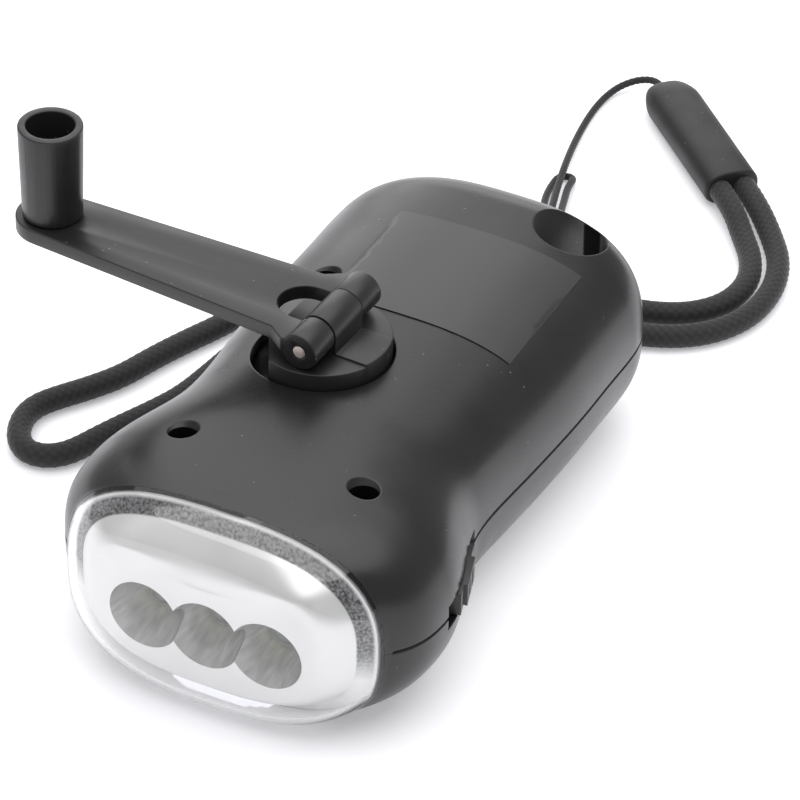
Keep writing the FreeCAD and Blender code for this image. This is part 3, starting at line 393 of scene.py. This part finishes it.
wristRoute = [
    capEnd + strandShift, capEnd + strandShift + capAlong * 6.0,
    (26.0, 95.6, wristZ), (30.4, 89.0, wristZ), (32.6, 80.5, wristZ), (31.8, 71.4, wristZ),
    (27.0, 63.8, wristZ), (18.8, 59.4, wristZ), (7.0, 57.4, wristZ), (-6.0, 56.4, wristZ),
    (-18.5, 53.0, wristZ), (-28.5, 45.5, wristZ), (-34.6, 35.0, wristZ), (-37.6, 25.6, wristZ),
    (-38.5, 17.2, wristZ), (-39.6, 9.3, wristZ), (-41.8, 3.4, wristZ), (-44.3, -2.2, wristZ),
    (-46.3, -7.2, wristZ), (-47.4, -10.3, wristZ), (-48.9, -13.1, wristZ),
    (-51.4, -15.0, wristZ), (-54.5, -15.1, wristZ), (-57.0, -13.1, wristZ),
    (-58.6, -10.2, wristZ), (-59.4, -7.0, wristZ), (-59.0, -3.8, wristZ), (-57.4, -0.8, wristZ),
    (-53.9, 4.2, wristZ), (-50.9, 9.5, wristZ), (-48.9, 16.1, wristZ), (-46.3, 22.9, wristZ),
    (-43.4, 29.5, wristZ), (-40.2, 39.6, wristZ), (-35.4, 48.4, wristZ), (-27.0, 56.4, wristZ),
    (-16.4, 61.2, wristZ), (-5.0, 63.6, wristZ), (6.0, 64.4, wristZ), (16.0, 65.4, wristZ),
    (23.0, 68.6, wristZ), (27.2, 74.2, wristZ), (28.0, 81.4, wristZ), (25.6, 88.0, wristZ),
    (21.6, 93.4, wristZ), capEnd - strandShift + capAlong * 6.0, capEnd - strandShift]


def splinePoints(name, route, step):
    # Points along the route's own smooth curve, evenly spaced.
    curve = bpy.data.curves.new(name, "CURVE")
    curve.dimensions = "3D"
    spline = curve.splines.new("NURBS")
    spline.points.add(len(route) - 1)
    for point, spot in zip(spline.points, route):
        point.co = (*(Vector(spot) * mm), 1)
    spline.order_u = 3
    spline.use_endpoint_u = True
    spline.resolution_u = 24
    holder = bpy.data.objects.new(name, curve)
    bpy.context.scene.collection.objects.link(holder)
    graph = bpy.context.evaluated_depsgraph_get()
    mesh = bpy.data.meshes.new_from_object(holder.evaluated_get(graph))
    line = np.array([v.co[:] for v in mesh.vertices])
    bpy.data.objects.remove(holder)
    bpy.data.meshes.remove(mesh)
    runs = np.linalg.norm(np.diff(line, axis=0), axis=1)
    keep = np.concatenate([[True], runs > 1e-9])
    line = line[keep]
    along = np.concatenate([[0], np.cumsum(runs[runs > 1e-9])])
    wanted = np.linspace(0, along[-1], max(int(along[-1] / (step * mm)), 8) + 1)
    return np.stack([np.interp(wanted, along, line[:, axis]) for axis in range(3)], axis=1), wanted


def braidHeight(turn, along, settings):
    # Two sets of strands cross in little lozenges, each set on top in turn.
    first = settings["carriers"] * turn / (2 * math.pi) + along / (settings["lay"] * mm)
    second = settings["carriers"] * turn / (2 * math.pi) - along / (settings["lay"] * mm)
    over = (np.floor(first) + np.floor(second)) % 2 == 0
    across = np.abs(np.sin(math.pi * first))
    beside = np.abs(np.sin(math.pi * second))
    return np.where(over, across ** 0.9 * beside ** 0.35, across ** 0.35 * beside ** 0.9)


def braidedTube(name, route, settings):
    points, along = splinePoints(name, route, settings["step"])
    tangents = np.gradient(points, axis=0)
    tangents /= np.linalg.norm(tangents, axis=1)[:, None]
    side = np.cross(tangents[0], (0, 0, 1))
    if np.linalg.norm(side) < 0.1:
        side = np.cross(tangents[0], (1, 0, 0))
    sides = []
    for tangent in tangents:
        side = side - tangent * side.dot(tangent)
        side /= np.linalg.norm(side)
        sides.append(side)
    sides = np.array(sides)
    ups = np.cross(tangents, sides)
    count = settings["around"]
    turns = np.linspace(0, 2 * math.pi, count, endpoint=False)
    grid = np.meshgrid(turns, along)
    height = braidHeight(grid[0], grid[1], settings)
    outer = settings["diameter"] / 2 * mm * 0.995
    radius = outer - settings["relief"] * mm * (1 - height)
    ring = sides[:, None] * np.cos(turns)[None, :, None] + ups[:, None] * np.sin(turns)[None, :, None]
    vertices = (points[:, None] + ring * radius[..., None]).reshape(-1, 3)
    faces = []
    for row in range(len(points) - 1):
        base = row * count
        for step in range(count):
            after = (step + 1) % count
            faces.append((base + step, base + after, base + count + after, base + count + step))
    first = tuple(range(count))
    last = tuple((len(points) - 1) * count + step for step in range(count))
    faces += [first[::-1], last]
    piece = meshObject(name, vertices, faces, 70)
    layer = piece.data.attributes.new("braid", "FLOAT", "POINT")
    layer.data.foreach_set("value", height.astype(np.float32).ravel())
    outwards(piece)
    return piece, points, along[-1]


def braidMaterial(name, base, roughness):
    tree = Tree(name)
    height = tree.add("ShaderNodeAttribute", attribute_name="braid").outputs["Fac"]
    fibre = tree.noise(5200, 3).outputs["Fac"]
    worn = tree.noise(140, 2).outputs["Fac"]
    # Painted light and shade: raised strands painted lighter and the crevices between them painted darker,
    # by braid height; the worn noise is real tone variation
    lit = tree.mix(worn, grey(base * 1.25), grey(base * 1.7))
    colour = tree.mix(tree.remap(height, 0.15, 0.9, 0.0, 1.0), grey(base * 0.35), lit)
    colour = tree.mix(tree.math("MULTIPLY", fibre, 0.35), colour, grey(base * 2.6))
    normal = tree.bump(fibre, 0.5, 0.00006)
    return tree.feed(Base_Color=colour, Roughness=roughness, Sheen_Weight=0.25, Sheen_Roughness=0.4,
                     Normal=normal)


cordBraid = braidMaterial("cord braid", 0.012, 0.75)
thinTube, thinPoints, thinLength = braidedTube("thinCord", thinRoute, thinCord)
hitchTube, hitchPoints, hitchLength = braidedTube("cordHitch", hitchRoute, thinCord)
wristTube, wristPoints, wristLength = braidedTube("wristCord", wristRoute, wristCord)
print("stage: cords", round(thinLength, 4), round(hitchLength, 4), round(wristLength, 4))


# The strap cap: an oval tube with a tapered front and a slot for the thin cord
def capRing(centre, halfWidth, halfHeight, count=64):
    ring = []
    for step in range(count):
        turn = 2 * math.pi * step / count
        across = math.copysign(abs(math.cos(turn)) ** 0.8, math.cos(turn)) * halfWidth
        rise = math.copysign(abs(math.sin(turn)) ** 0.8, math.sin(turn)) * halfHeight
        ring.append((centre + capAcross * across + Vector((0, 0, rise))) * mm)
    return ring


def makeCap():
    length = (capEnd - capStart).length
    wide, tall = cap["halfWidth"], cap["halfHeight"]
    slim, low = cap["frontHalfWidth"], cap["frontHalfHeight"]
    rings = []
    for shift, drawIn in ((0.0, 0.12), (0.12, 0.0)):
        rings.append(capRing(capStart + capAlong * shift, slim - drawIn, low - drawIn))
    for step in range(1, 9):
        share = step / 8
        blend = math.sin(share * math.pi / 2) ** 0.85
        rings.append(capRing(capStart + capAlong * (0.12 + (cap["taper"] - 0.12) * share),
                             slim + (wide - slim) * blend, low + (tall - low) * blend))
    for share in (0.35, 0.7):
        shift = cap["taper"] + (length - cap["taper"]) * share
        rings.append(capRing(capStart + capAlong * shift, wide, tall))
    edge = cap["edge"]
    for turn in (0, 30, 60, 90):
        angle = math.radians(turn)
        drawIn = edge * (1 - math.cos(angle))
        spot = capEnd - capAlong * (edge - edge * math.sin(angle))
        rings.append(capRing(spot, wide - drawIn, tall - drawIn))
    piece = loftRings("strapCap", rings, smoothAngle=45)
    slotSides = []
    wide, tall = cap["slotHalfWidth"], cap["slotHalfHeight"]
    for depth in (-1.0, cap["slotDepth"]):
        for across, rise in ((-wide, -tall), (wide, -tall), (wide, tall), (-wide, tall)):
            slotSides.append((capStart + capAlong * depth + capAcross * across + Vector((0, 0, rise))) * mm)
    boxFaces = [(0, 1, 2, 3), (4, 5, 6, 7), (0, 1, 5, 4), (1, 2, 6, 5), (2, 3, 7, 6), (3, 0, 4, 7)]
    cutBy(piece, [outwards(meshObject("capSlot", slotSides, boxFaces))])
    piece.data.shade_smooth()
    piece.data.set_sharp_from_angle(angle=math.radians(40))
    return piece


strapCap = finishPiece(makeCap(), capPlastic, "case", ("strap_cap",))
for tube, node in ((thinTube, "thin_cord"), (hitchTube, "cord_hitch"), (wristTube, "wrist_cord")):
    finishPiece(tube, cordBraid, "case", (node,))
print("stage: strap")

# Case shells: the CAD surfaces, shaded with the true normal of the case's formula
case = {"length": 99.0, "halfHeight": 17.4, "seam": 17.0, "exponent": 2.7, "lensHalfWidth": 26.4,
        "headHalfWidth": 31.0, "head": 13.0, "waistHalfWidth": 25.9, "waist": 33.0, "gripHalfWidth": 27.5,
        "grip": 68.0, "rearCorner": 14.0, "rearEdge": 9.0, "skinGap": 0.25, "skinSlope": 0.75}
frontY = -case["length"] / 2


def ease(value):
    value = np.clip(value, 0, 1)
    return value * value * (3 - 2 * value)


def planHalfWidth(station):
    bulge = case["headHalfWidth"] - (case["headHalfWidth"] - case["lensHalfWidth"]) * (
        1 - np.clip(station, 0, case["head"]) / case["head"]) ** 3
    waist = (case["waistHalfWidth"] - case["headHalfWidth"]) * ease(
        (station - case["head"]) / (case["waist"] - case["head"]))
    grip = (case["gripHalfWidth"] - case["waistHalfWidth"]) * ease(
        (station - case["waist"]) / (case["grip"] - case["waist"]))
    return bulge + waist + grip


def drawnIn(station, radius):
    run = np.clip(station - (case["length"] - radius), 0, radius * 0.9999)
    return radius - np.sqrt(radius ** 2 - run ** 2)


def caseValue(points):
    # One on the case's skin, less inside.
    station = points[:, 1] / mm - frontY
    halfWidth = planHalfWidth(station) - drawnIn(station, case["rearCorner"])
    halfHeight = case["halfHeight"] - drawnIn(station, case["rearEdge"])
    across = np.abs(points[:, 0] / mm) / halfWidth
    rise = np.abs(points[:, 2] / mm - case["seam"]) / halfHeight
    return (across ** case["exponent"] + rise ** case["exponent"]) ** (1 / case["exponent"]), halfWidth


def skinNormals(piece):
    mesh = piece.data
    points = np.array([v.co[:] for v in mesh.vertices])
    value, halfWidth = caseValue(points)
    slope = np.zeros_like(points)
    reach = 0.02 * mm
    for axis in range(3):
        shift = np.zeros(3)
        shift[axis] = reach
        slope[:, axis] = caseValue(points + shift)[0] - caseValue(points - shift)[0]
    slope /= np.maximum(np.linalg.norm(slope, axis=1), 1e-12)[:, None]
    onSkin = np.abs(value - 1) * halfWidth < case["skinGap"]
    normals = np.array([n.vector[:] for n in mesh.corner_normals])
    for face in mesh.polygons:
        facing = np.array(face.normal[:])
        for loop, vertex in zip(face.loop_indices, face.vertices):
            if onSkin[vertex] and slope[vertex].dot(facing) > case["skinSlope"]:
                normals[loop] = slope[vertex]
    mesh.normals_split_custom_set([tuple(n) for n in normals])
    return piece


caseTop = skinNormals(nodeCopy("upper_shell", "caseTop"))
caseFloor = skinNormals(nodeCopy("lower_shell", "caseFloor"))
finishPiece(caseTop, casePlastic, "case", ("upper_shell",))
finishPiece(caseFloor, casePlastic, "case", ("lower_shell",))
print("stage: case")


# Screw wells: painted shade, near-black matte sleeves down the four deep holes that stand in for the shadow
# inside them, one tube set on a point in each hole
wells = {"radius": 2.4, "wall": 0.1, "height": 9.9, "middle": 27.05, "around": 40,
         "spacing": 15.1, "stations": (15.0, 60.9)}


def wellTree():
    tree = bpy.data.node_groups.new("screwWellShadeSleeves", "GeometryNodeTree")
    tree.interface.new_socket("Geometry", in_out="INPUT", socket_type="NodeSocketGeometry")
    sizes = {}
    for name, value in (("Radius", wells["radius"]), ("Wall", wells["wall"]), ("Height", wells["height"])):
        socket = tree.interface.new_socket(name, in_out="INPUT", socket_type="NodeSocketFloat")
        sizes[socket.identifier] = value * mm
    paint = tree.interface.new_socket("Material", in_out="INPUT", socket_type="NodeSocketMaterial")
    tree.interface.new_socket("Geometry", in_out="OUTPUT", socket_type="NodeSocketGeometry")
    kinds = ("NodeGroupInput", "GeometryNodeCurvePrimitiveCircle", "GeometryNodeCurvePrimitiveQuadrilateral",
             "GeometryNodeCurveToMesh", "GeometryNodeInstanceOnPoints", "GeometryNodeRealizeInstances",
             "GeometryNodeSetMaterial", "NodeGroupOutput")
    given, circle, wall, sweep, setOn, real, painted, result = (tree.nodes.new(kind) for kind in kinds)
    circle.inputs["Resolution"].default_value = wells["around"]
    for start, end in (
            (given.outputs["Radius"], circle.inputs["Radius"]),
            (given.outputs["Wall"], wall.inputs["Width"]),
            (given.outputs["Height"], wall.inputs["Height"]),
            (circle.outputs["Curve"], sweep.inputs["Curve"]),
            (wall.outputs["Curve"], sweep.inputs["Profile Curve"]),
            (given.outputs["Geometry"], setOn.inputs["Points"]),
            (sweep.outputs["Mesh"], setOn.inputs["Instance"]),
            (setOn.outputs["Instances"], real.inputs["Geometry"]),
            (real.outputs["Geometry"], painted.inputs["Geometry"]),
            (given.outputs["Material"], painted.inputs["Material"]),
            (painted.outputs["Geometry"], result.inputs["Geometry"])):
        tree.links.new(start, end)
    return tree, sizes, paint.identifier


def makeWellShadeSleeves():
    shade = Tree("well shade")
    dull = shade.noise(800, 2).outputs["Fac"]
    # Painted shade: a near-black matte colour for the sleeves, in place of the shadow deep in each hole
    paintedShade = shade.feed(Base_Color=shade.mix(dull, grey(0.003), grey(0.006)), Roughness=0.9,
                       Specular_IOR_Level=0.1)
    spots = [place(side * wells["spacing"], frontY + station, wells["middle"])
             for station in wells["stations"] for side in (-1, 1)]
    piece = meshObject("screwWellShadeSleeves", spots, [])
    tree, sizes, paint = wellTree()
    setOn = piece.modifiers.new("wells", "NODES")
    setOn.node_group = tree
    for identifier, value in sizes.items():
        setOn[identifier] = value
    setOn[paint] = paintedShade
    applied(piece)
    outwards(piece)
    piece.data.set_sharp_from_angle(angle=math.radians(40))
    return piece, paintedShade


wellPiece, wellPaintedShade = makeWellShadeSleeves()
finishPiece(wellPiece, wellPaintedShade, "case", ())
print("stage: screw wells")

# Lens dome
dome = {"depth": 9.0, "exponent": 3.5, "sideTaper": 0.4, "topTaper": 0.05, "cornerEase": 0.3, "wall": 0.9,
        "halfWidth": 26.4, "halfHeight": 17.4,
        "turns": (0.5, 1, 2.5, 5, 9, 14, 20, 26, 32, 38, 44, 50, 56, 62, 68, 74, 79, 83, 86.5)}


def ellipseRing(halfWidth, halfHeight, y, exponent=case["exponent"], count=144):
    ring = []
    for step in range(count):
        turn = 2 * math.pi * step / count
        across = math.copysign(abs(math.cos(turn)) ** (2 / exponent), math.cos(turn)) * halfWidth
        rise = math.copysign(abs(math.sin(turn)) ** (2 / exponent), math.sin(turn)) * halfHeight
        ring.append(place(across, y, max(case["seam"] + rise, 0)))
    return ring


def domeRing(inset, turn):
    angle = math.radians(turn)
    scale = max(math.cos(angle), 1e-6) ** (2 / dome["exponent"])
    reach = math.sin(angle) ** (2 / dome["exponent"]) * (dome["depth"] - inset)
    wide = (dome["halfWidth"] - inset - dome["sideTaper"] * reach) * scale
    tall = (dome["halfHeight"] - inset - dome["topTaper"] * reach) * scale
    exponent = case["exponent"] - dome["cornerEase"] * reach / dome["depth"]
    return ellipseRing(wide, tall, frontY - reach, exponent), reach


def makeDome():
    turns, wide, tall = dome["turns"], dome["halfWidth"], dome["halfHeight"]
    rings = [domeRing(dome["wall"], turn)[0] for turn in reversed(turns)]
    rings.append(ellipseRing(wide - dome["wall"], tall - dome["wall"], frontY))
    rings.append(ellipseRing(wide, tall, frontY))
    rings += [domeRing(0, turn)[0] for turn in turns]
    return loftRings("lensDome", rings, smoothAngle=32)


def clearPlastic():
    tree = Tree("clear plastic")
    soft = tree.noise(120, 2).outputs["Fac"]
    normal = tree.bump(soft, 0.05, 0.0001)
    return tree.feed(Base_Color=(1, 1, 1, 1), Roughness=0.02, IOR=1.49, Transmission_Weight=1.0,
                     Normal=normal)


finishPiece(makeDome(), clearPlastic(), "case", ("lens_cover",))
print("stage: lens")

# Reflector: a silvered hood whose front plate is scooped along its top, with three bores that run together
reflector = {"flange": ((1.1, 0.06), (1.1, 0.5), (1.9, 0.75), (3.3, 1.4)),
             "halfWidth": 22.75, "halfHeight": 13.75, "back": 3.0, "rim": -1.4, "front": -5.7, "crown": 0.5,
             "plateHalfWidth": 17.6, "plateHalfHeight": 11.4, "scoop": 5.0, "scoopWidth": 14.0, "drop": 2.0,
             "spacing": 10.2, "mouth": 5.75, "throat": 2.7, "throatY": 5.0, "extra": 2.0, "count": 144}


def silvered(name, settings):
    # Vacuum silver: bright and a little cloudy, with a grainy grey band round its rim.
    tree = Tree(name)
    stretched = {"Vector": tree.place, "Scale": settings["streaks"]}
    flow = tree.add("ShaderNodeMapping", stretched).outputs["Vector"]
    lines = tree.noise(520, 4, flow).outputs["Fac"]
    base = settings["base"]
    shaded = (*[c * settings["streakShade"] for c in base], 1)
    colour = tree.mix(tree.remap(lines, 0.35, 0.65, 0.0, 1.0), shaded, (*base, 1))
    if settings["band"]:
        spot = tree.add("ShaderNodeSeparateXYZ", {"Vector": tree.place}).outputs
        near, far = settings["band"]
        reach = tree.math("MULTIPLY", tree.math("SUBTRACT", frontY * mm, spot["Y"]), 1 / mm)
        band = tree.math("MULTIPLY", tree.remap(reach, near - 0.15, near, 0.0, 1.0),
                         tree.remap(reach, far, far + 0.25, 1.0, 0.0))
        high = tree.remap(spot["Z"], settings["bandLow"] * mm, (settings["bandLow"] + 5) * mm, 0.0, 1.0)
        grain = tree.noise(2300, 3).outputs["Fac"]
        dark = tree.mix(tree.remap(grain, 0.35, 0.62, 0.0, 1.0), grey(0.02), grey(0.3))
        colour = tree.mix(tree.math("MULTIPLY", band, high), colour, dark)
    rough = tree.remap(lines, 0.3, 0.7, settings["roughness"] - 0.05, settings["roughness"] + 0.08)
    return tree.feed(Base_Color=colour, Metallic=settings["metallic"], Roughness=rough,
                     Normal=tree.bump(lines, settings["relief"], 0.00012))


def makeReflector():
    wide, tall = reflector["halfWidth"], reflector["halfHeight"]
    plateY = frontY + reflector["front"]
    rimY = frontY + reflector["rim"]
    count = reflector["count"]

    def plateEdge(share, y):
        ring = []
        for spot in ellipseRing(reflector["plateHalfWidth"] * share, reflector["plateHalfHeight"] * share, y,
                                2.9, count):
            x, z = spot.x / mm, spot.z / mm - case["seam"]
            if z > 0:
                dip = reflector["scoop"] * max(0.0, 1 - (x / reflector["scoopWidth"]) ** 2)
                z -= dip * share * min(z / reflector["plateHalfHeight"], 1)
            ring.append(place(x, y, z + case["seam"]))
        return ring

    rings = [ellipseRing(wide, tall, frontY + reflector["back"], count=count),
             ellipseRing(wide, tall, frontY - 0.06, count=count)]
    for inset, reach in reflector["flange"]:
        rings.append(ellipseRing(dome["halfWidth"] - inset, dome["halfHeight"] - inset, frontY - reach,
                                 count=count))
    outer, inner = rings[-1], plateEdge(1.0, plateY)
    for step in range(1, 13):
        share = step / 12
        reach = share ** 1.15
        depth = math.sin(min(share, 1) * math.pi / 2) ** 1.1
        ring = []
        for a, b in zip(outer, inner):
            spot = a.lerp(b, reach)
            spot.y = (rimY + (plateY - rimY) * depth) * mm
            ring.append(spot)
        rings.append(ring)
    for share in (0.94, 0.86, 0.74, 0.6, 0.45, 0.3, 0.15):
        rings.append(plateEdge(share, plateY - reflector["crown"] * (1 - share ** 2)))
    body = loftRings("reflectorShell", rings, smoothAngle=50)
    body.data.materials.append(silvered("reflector silver", {
        "base": (1.0, 1.0, 1.0), "roughness": 0.34, "streaks": (0.3, 0.3, 0.3), "streakShade": 0.95,
        "metallic": 0.5, "relief": 0.05, "band": (0.7, 1.75), "bandLow": 12.0}))
    bore = silvered("bore silver", {
        "base": (1.0, 1.0, 0.99), "roughness": 0.16, "streaks": (2.2, 0.15, 2.2), "streakShade": 0.72,
        "metallic": 0.55, "relief": 0.12, "band": None, "bandLow": 0.0})
    cutters = []
    length = reflector["throatY"] - reflector["front"]
    for side in (-1, 0, 1):
        rings = []
        for step in range(15):
            share = step / 14 * (1 + reflector["extra"] / length)
            radius = reflector["throat"] + (reflector["mouth"] - reflector["throat"]) * share ** 0.72
            y = frontY + reflector["throatY"] - length * share
            rings.append([place(side * reflector["spacing"] + radius * math.cos(2 * math.pi * k / 64), y,
                                case["seam"] - reflector["drop"] + radius * math.sin(2 * math.pi * k / 64))
                          for k in range(64)])
        cutter = loftRings("boreCutter", rings)
        cutter.data.materials.append(bore)
        cutters.append(cutter)
    cutBy(body, cutters)
    body.data.shade_smooth()
    body.data.set_sharp_from_angle(angle=math.radians(38))
    return body


reflectorShell = makeReflector()
finishPiece(reflectorShell, None, "case", ("reflector",))


lamps = {"radius": 1.15, "around": 24, "stations": (2.4, 1.6)}


def makeLamps():
    # Clear domes with a yellowish chip under each.
    clear = Tree("lamp resin").feed(Base_Color=(0.98, 0.97, 0.9, 1), Roughness=0.05, IOR=1.5,
                                    Transmission_Weight=0.9)
    phosphor = Tree("lamp phosphor")
    spots = phosphor.noise(2500, 2).outputs["Fac"]
    yellow = phosphor.mix(spots, (0.9, 0.88, 0.45, 1), (0.97, 0.96, 0.62, 1))
    chip = phosphor.feed(Base_Color=yellow, Roughness=0.6)
    for side, node in ((-1, "led_left"), (0, "led_middle"), (1, "led_right")):
        lamp = nodeCopy(node, "lamp" + str(side + 2), 40)
        finishPiece(lamp, clear, "case", (node,))
        x = side * reflector["spacing"]
        z = case["seam"] - reflector["drop"]
        rings = [[place(x + lamps["radius"] * math.cos(2 * math.pi * k / lamps["around"]), frontY + station,
                        z + lamps["radius"] * math.sin(2 * math.pi * k / lamps["around"]))
                  for k in range(lamps["around"])] for station in lamps["stations"]]
        plate = loftRings("lampChip" + str(side + 2), rings)
        finishPiece(plate, chip, "case", ())


makeLamps()
print("stage: reflector and lamps")

# Crank, pin, knob and switch, with their moulded edges rounded
crank = {"discCut": ((-13.1, -11.25), (-10.81, -15.55)), "discCutLow": 30.6, "discCutHigh": 37.6,
         "cutDepth": 12, "cutReach": 14, "hubEdge": 0.2, "armEdge": 0.28, "knobEdge": 0.25, "pinEdge": 0.07}


def prism(name, corners, lowZ, highZ):
    count = len(corners)
    points = [place(x, y, z) for z in (lowZ, highZ) for x, y in corners]
    sides = [(k, (k + 1) % count, count + (k + 1) % count, count + k) for k in range(count)]
    return outwards(meshObject(name, points, sides + [tuple(range(count)), tuple(range(count, 2 * count))]))


def makeHub():
    # The disc is cut straight off towards the arm, which leaves a dark gap beside it.
    hub = softCopy("crank_hub", "crankHub", crank["hubEdge"] * mm)
    first, second = (Vector(spot) for spot in crank["discCut"])
    beyond = Vector((-(second - first).y, (second - first).x)).normalized() * -crank["cutDepth"]
    run = (second - first).normalized() * crank["cutReach"]
    corners = [first - run, second + run, second + run + beyond, first - run + beyond]
    cutBy(hub, [prism("discCutter", [tuple(c) for c in corners], crank["discCutLow"], crank["discCutHigh"])])
    hub.data.shade_smooth()
    hub.data.set_sharp_from_angle(angle=math.radians(35))
    return hub


finishPiece(makeHub(), crankPlastic, "crank", ("crank_hub",))
finishPiece(softCopy("crank_arm", "crankArm", crank["armEdge"] * mm), crankPlastic, "arm", ("crank_arm",))
finishPiece(softCopy("crank_knob", "crankKnob", crank["knobEdge"] * mm), crankPlastic, "knob",
            ("crank_knob",))
finishPiece(softCopy("hinge_pin", "hingePin", crank["pinEdge"] * mm), pinSteel, "arm", ("hinge_pin",))

# Switch slider
slider = {"station": 21.2, "slopeStep": 0.5, "flatten": 0.5, "edge": 0.3}


def makeSlider():
    # The part that stands out of the case is pressed flatter.
    station, half = slider["station"], slider["slopeStep"]
    slope = (planHalfWidth(station + half) - planHalfWidth(station - half)) / (2 * half)
    out = Vector((1, -slope, 0)).normalized()
    centre = place(planHalfWidth(station), frontY + station, case["seam"])
    piece = softCopy("switch_slider", "switchSlider", slider["edge"] * mm)
    for vertex in piece.data.vertices:
        proud = (vertex.co - centre).dot(out)
        if proud > 0:
            vertex.co -= out * proud * slider["flatten"]
    piece.data.update()
    return piece


finishPiece(makeSlider(), switchPlastic, "slider", ("switch_slider",))
print("stage: crank and switch")


# Label: a plain dark film
def labelFilm():
    tree = Tree("label film")
    soft = tree.noise(70, 2).outputs["Fac"]
    fine = tree.noise(1800, 2).outputs["Fac"]
    colour = tree.mix(soft, grey(0.03), grey(0.036))
    return tree.feed(Base_Color=colour, Roughness=0.3, Normal=tree.bump(fine, 0.1, 0.00002))


finishPiece(nodeCopy("label", "labelFilm", 30), labelFilm(), "case", ("label",))
print("stage: label")

print("stage: done")
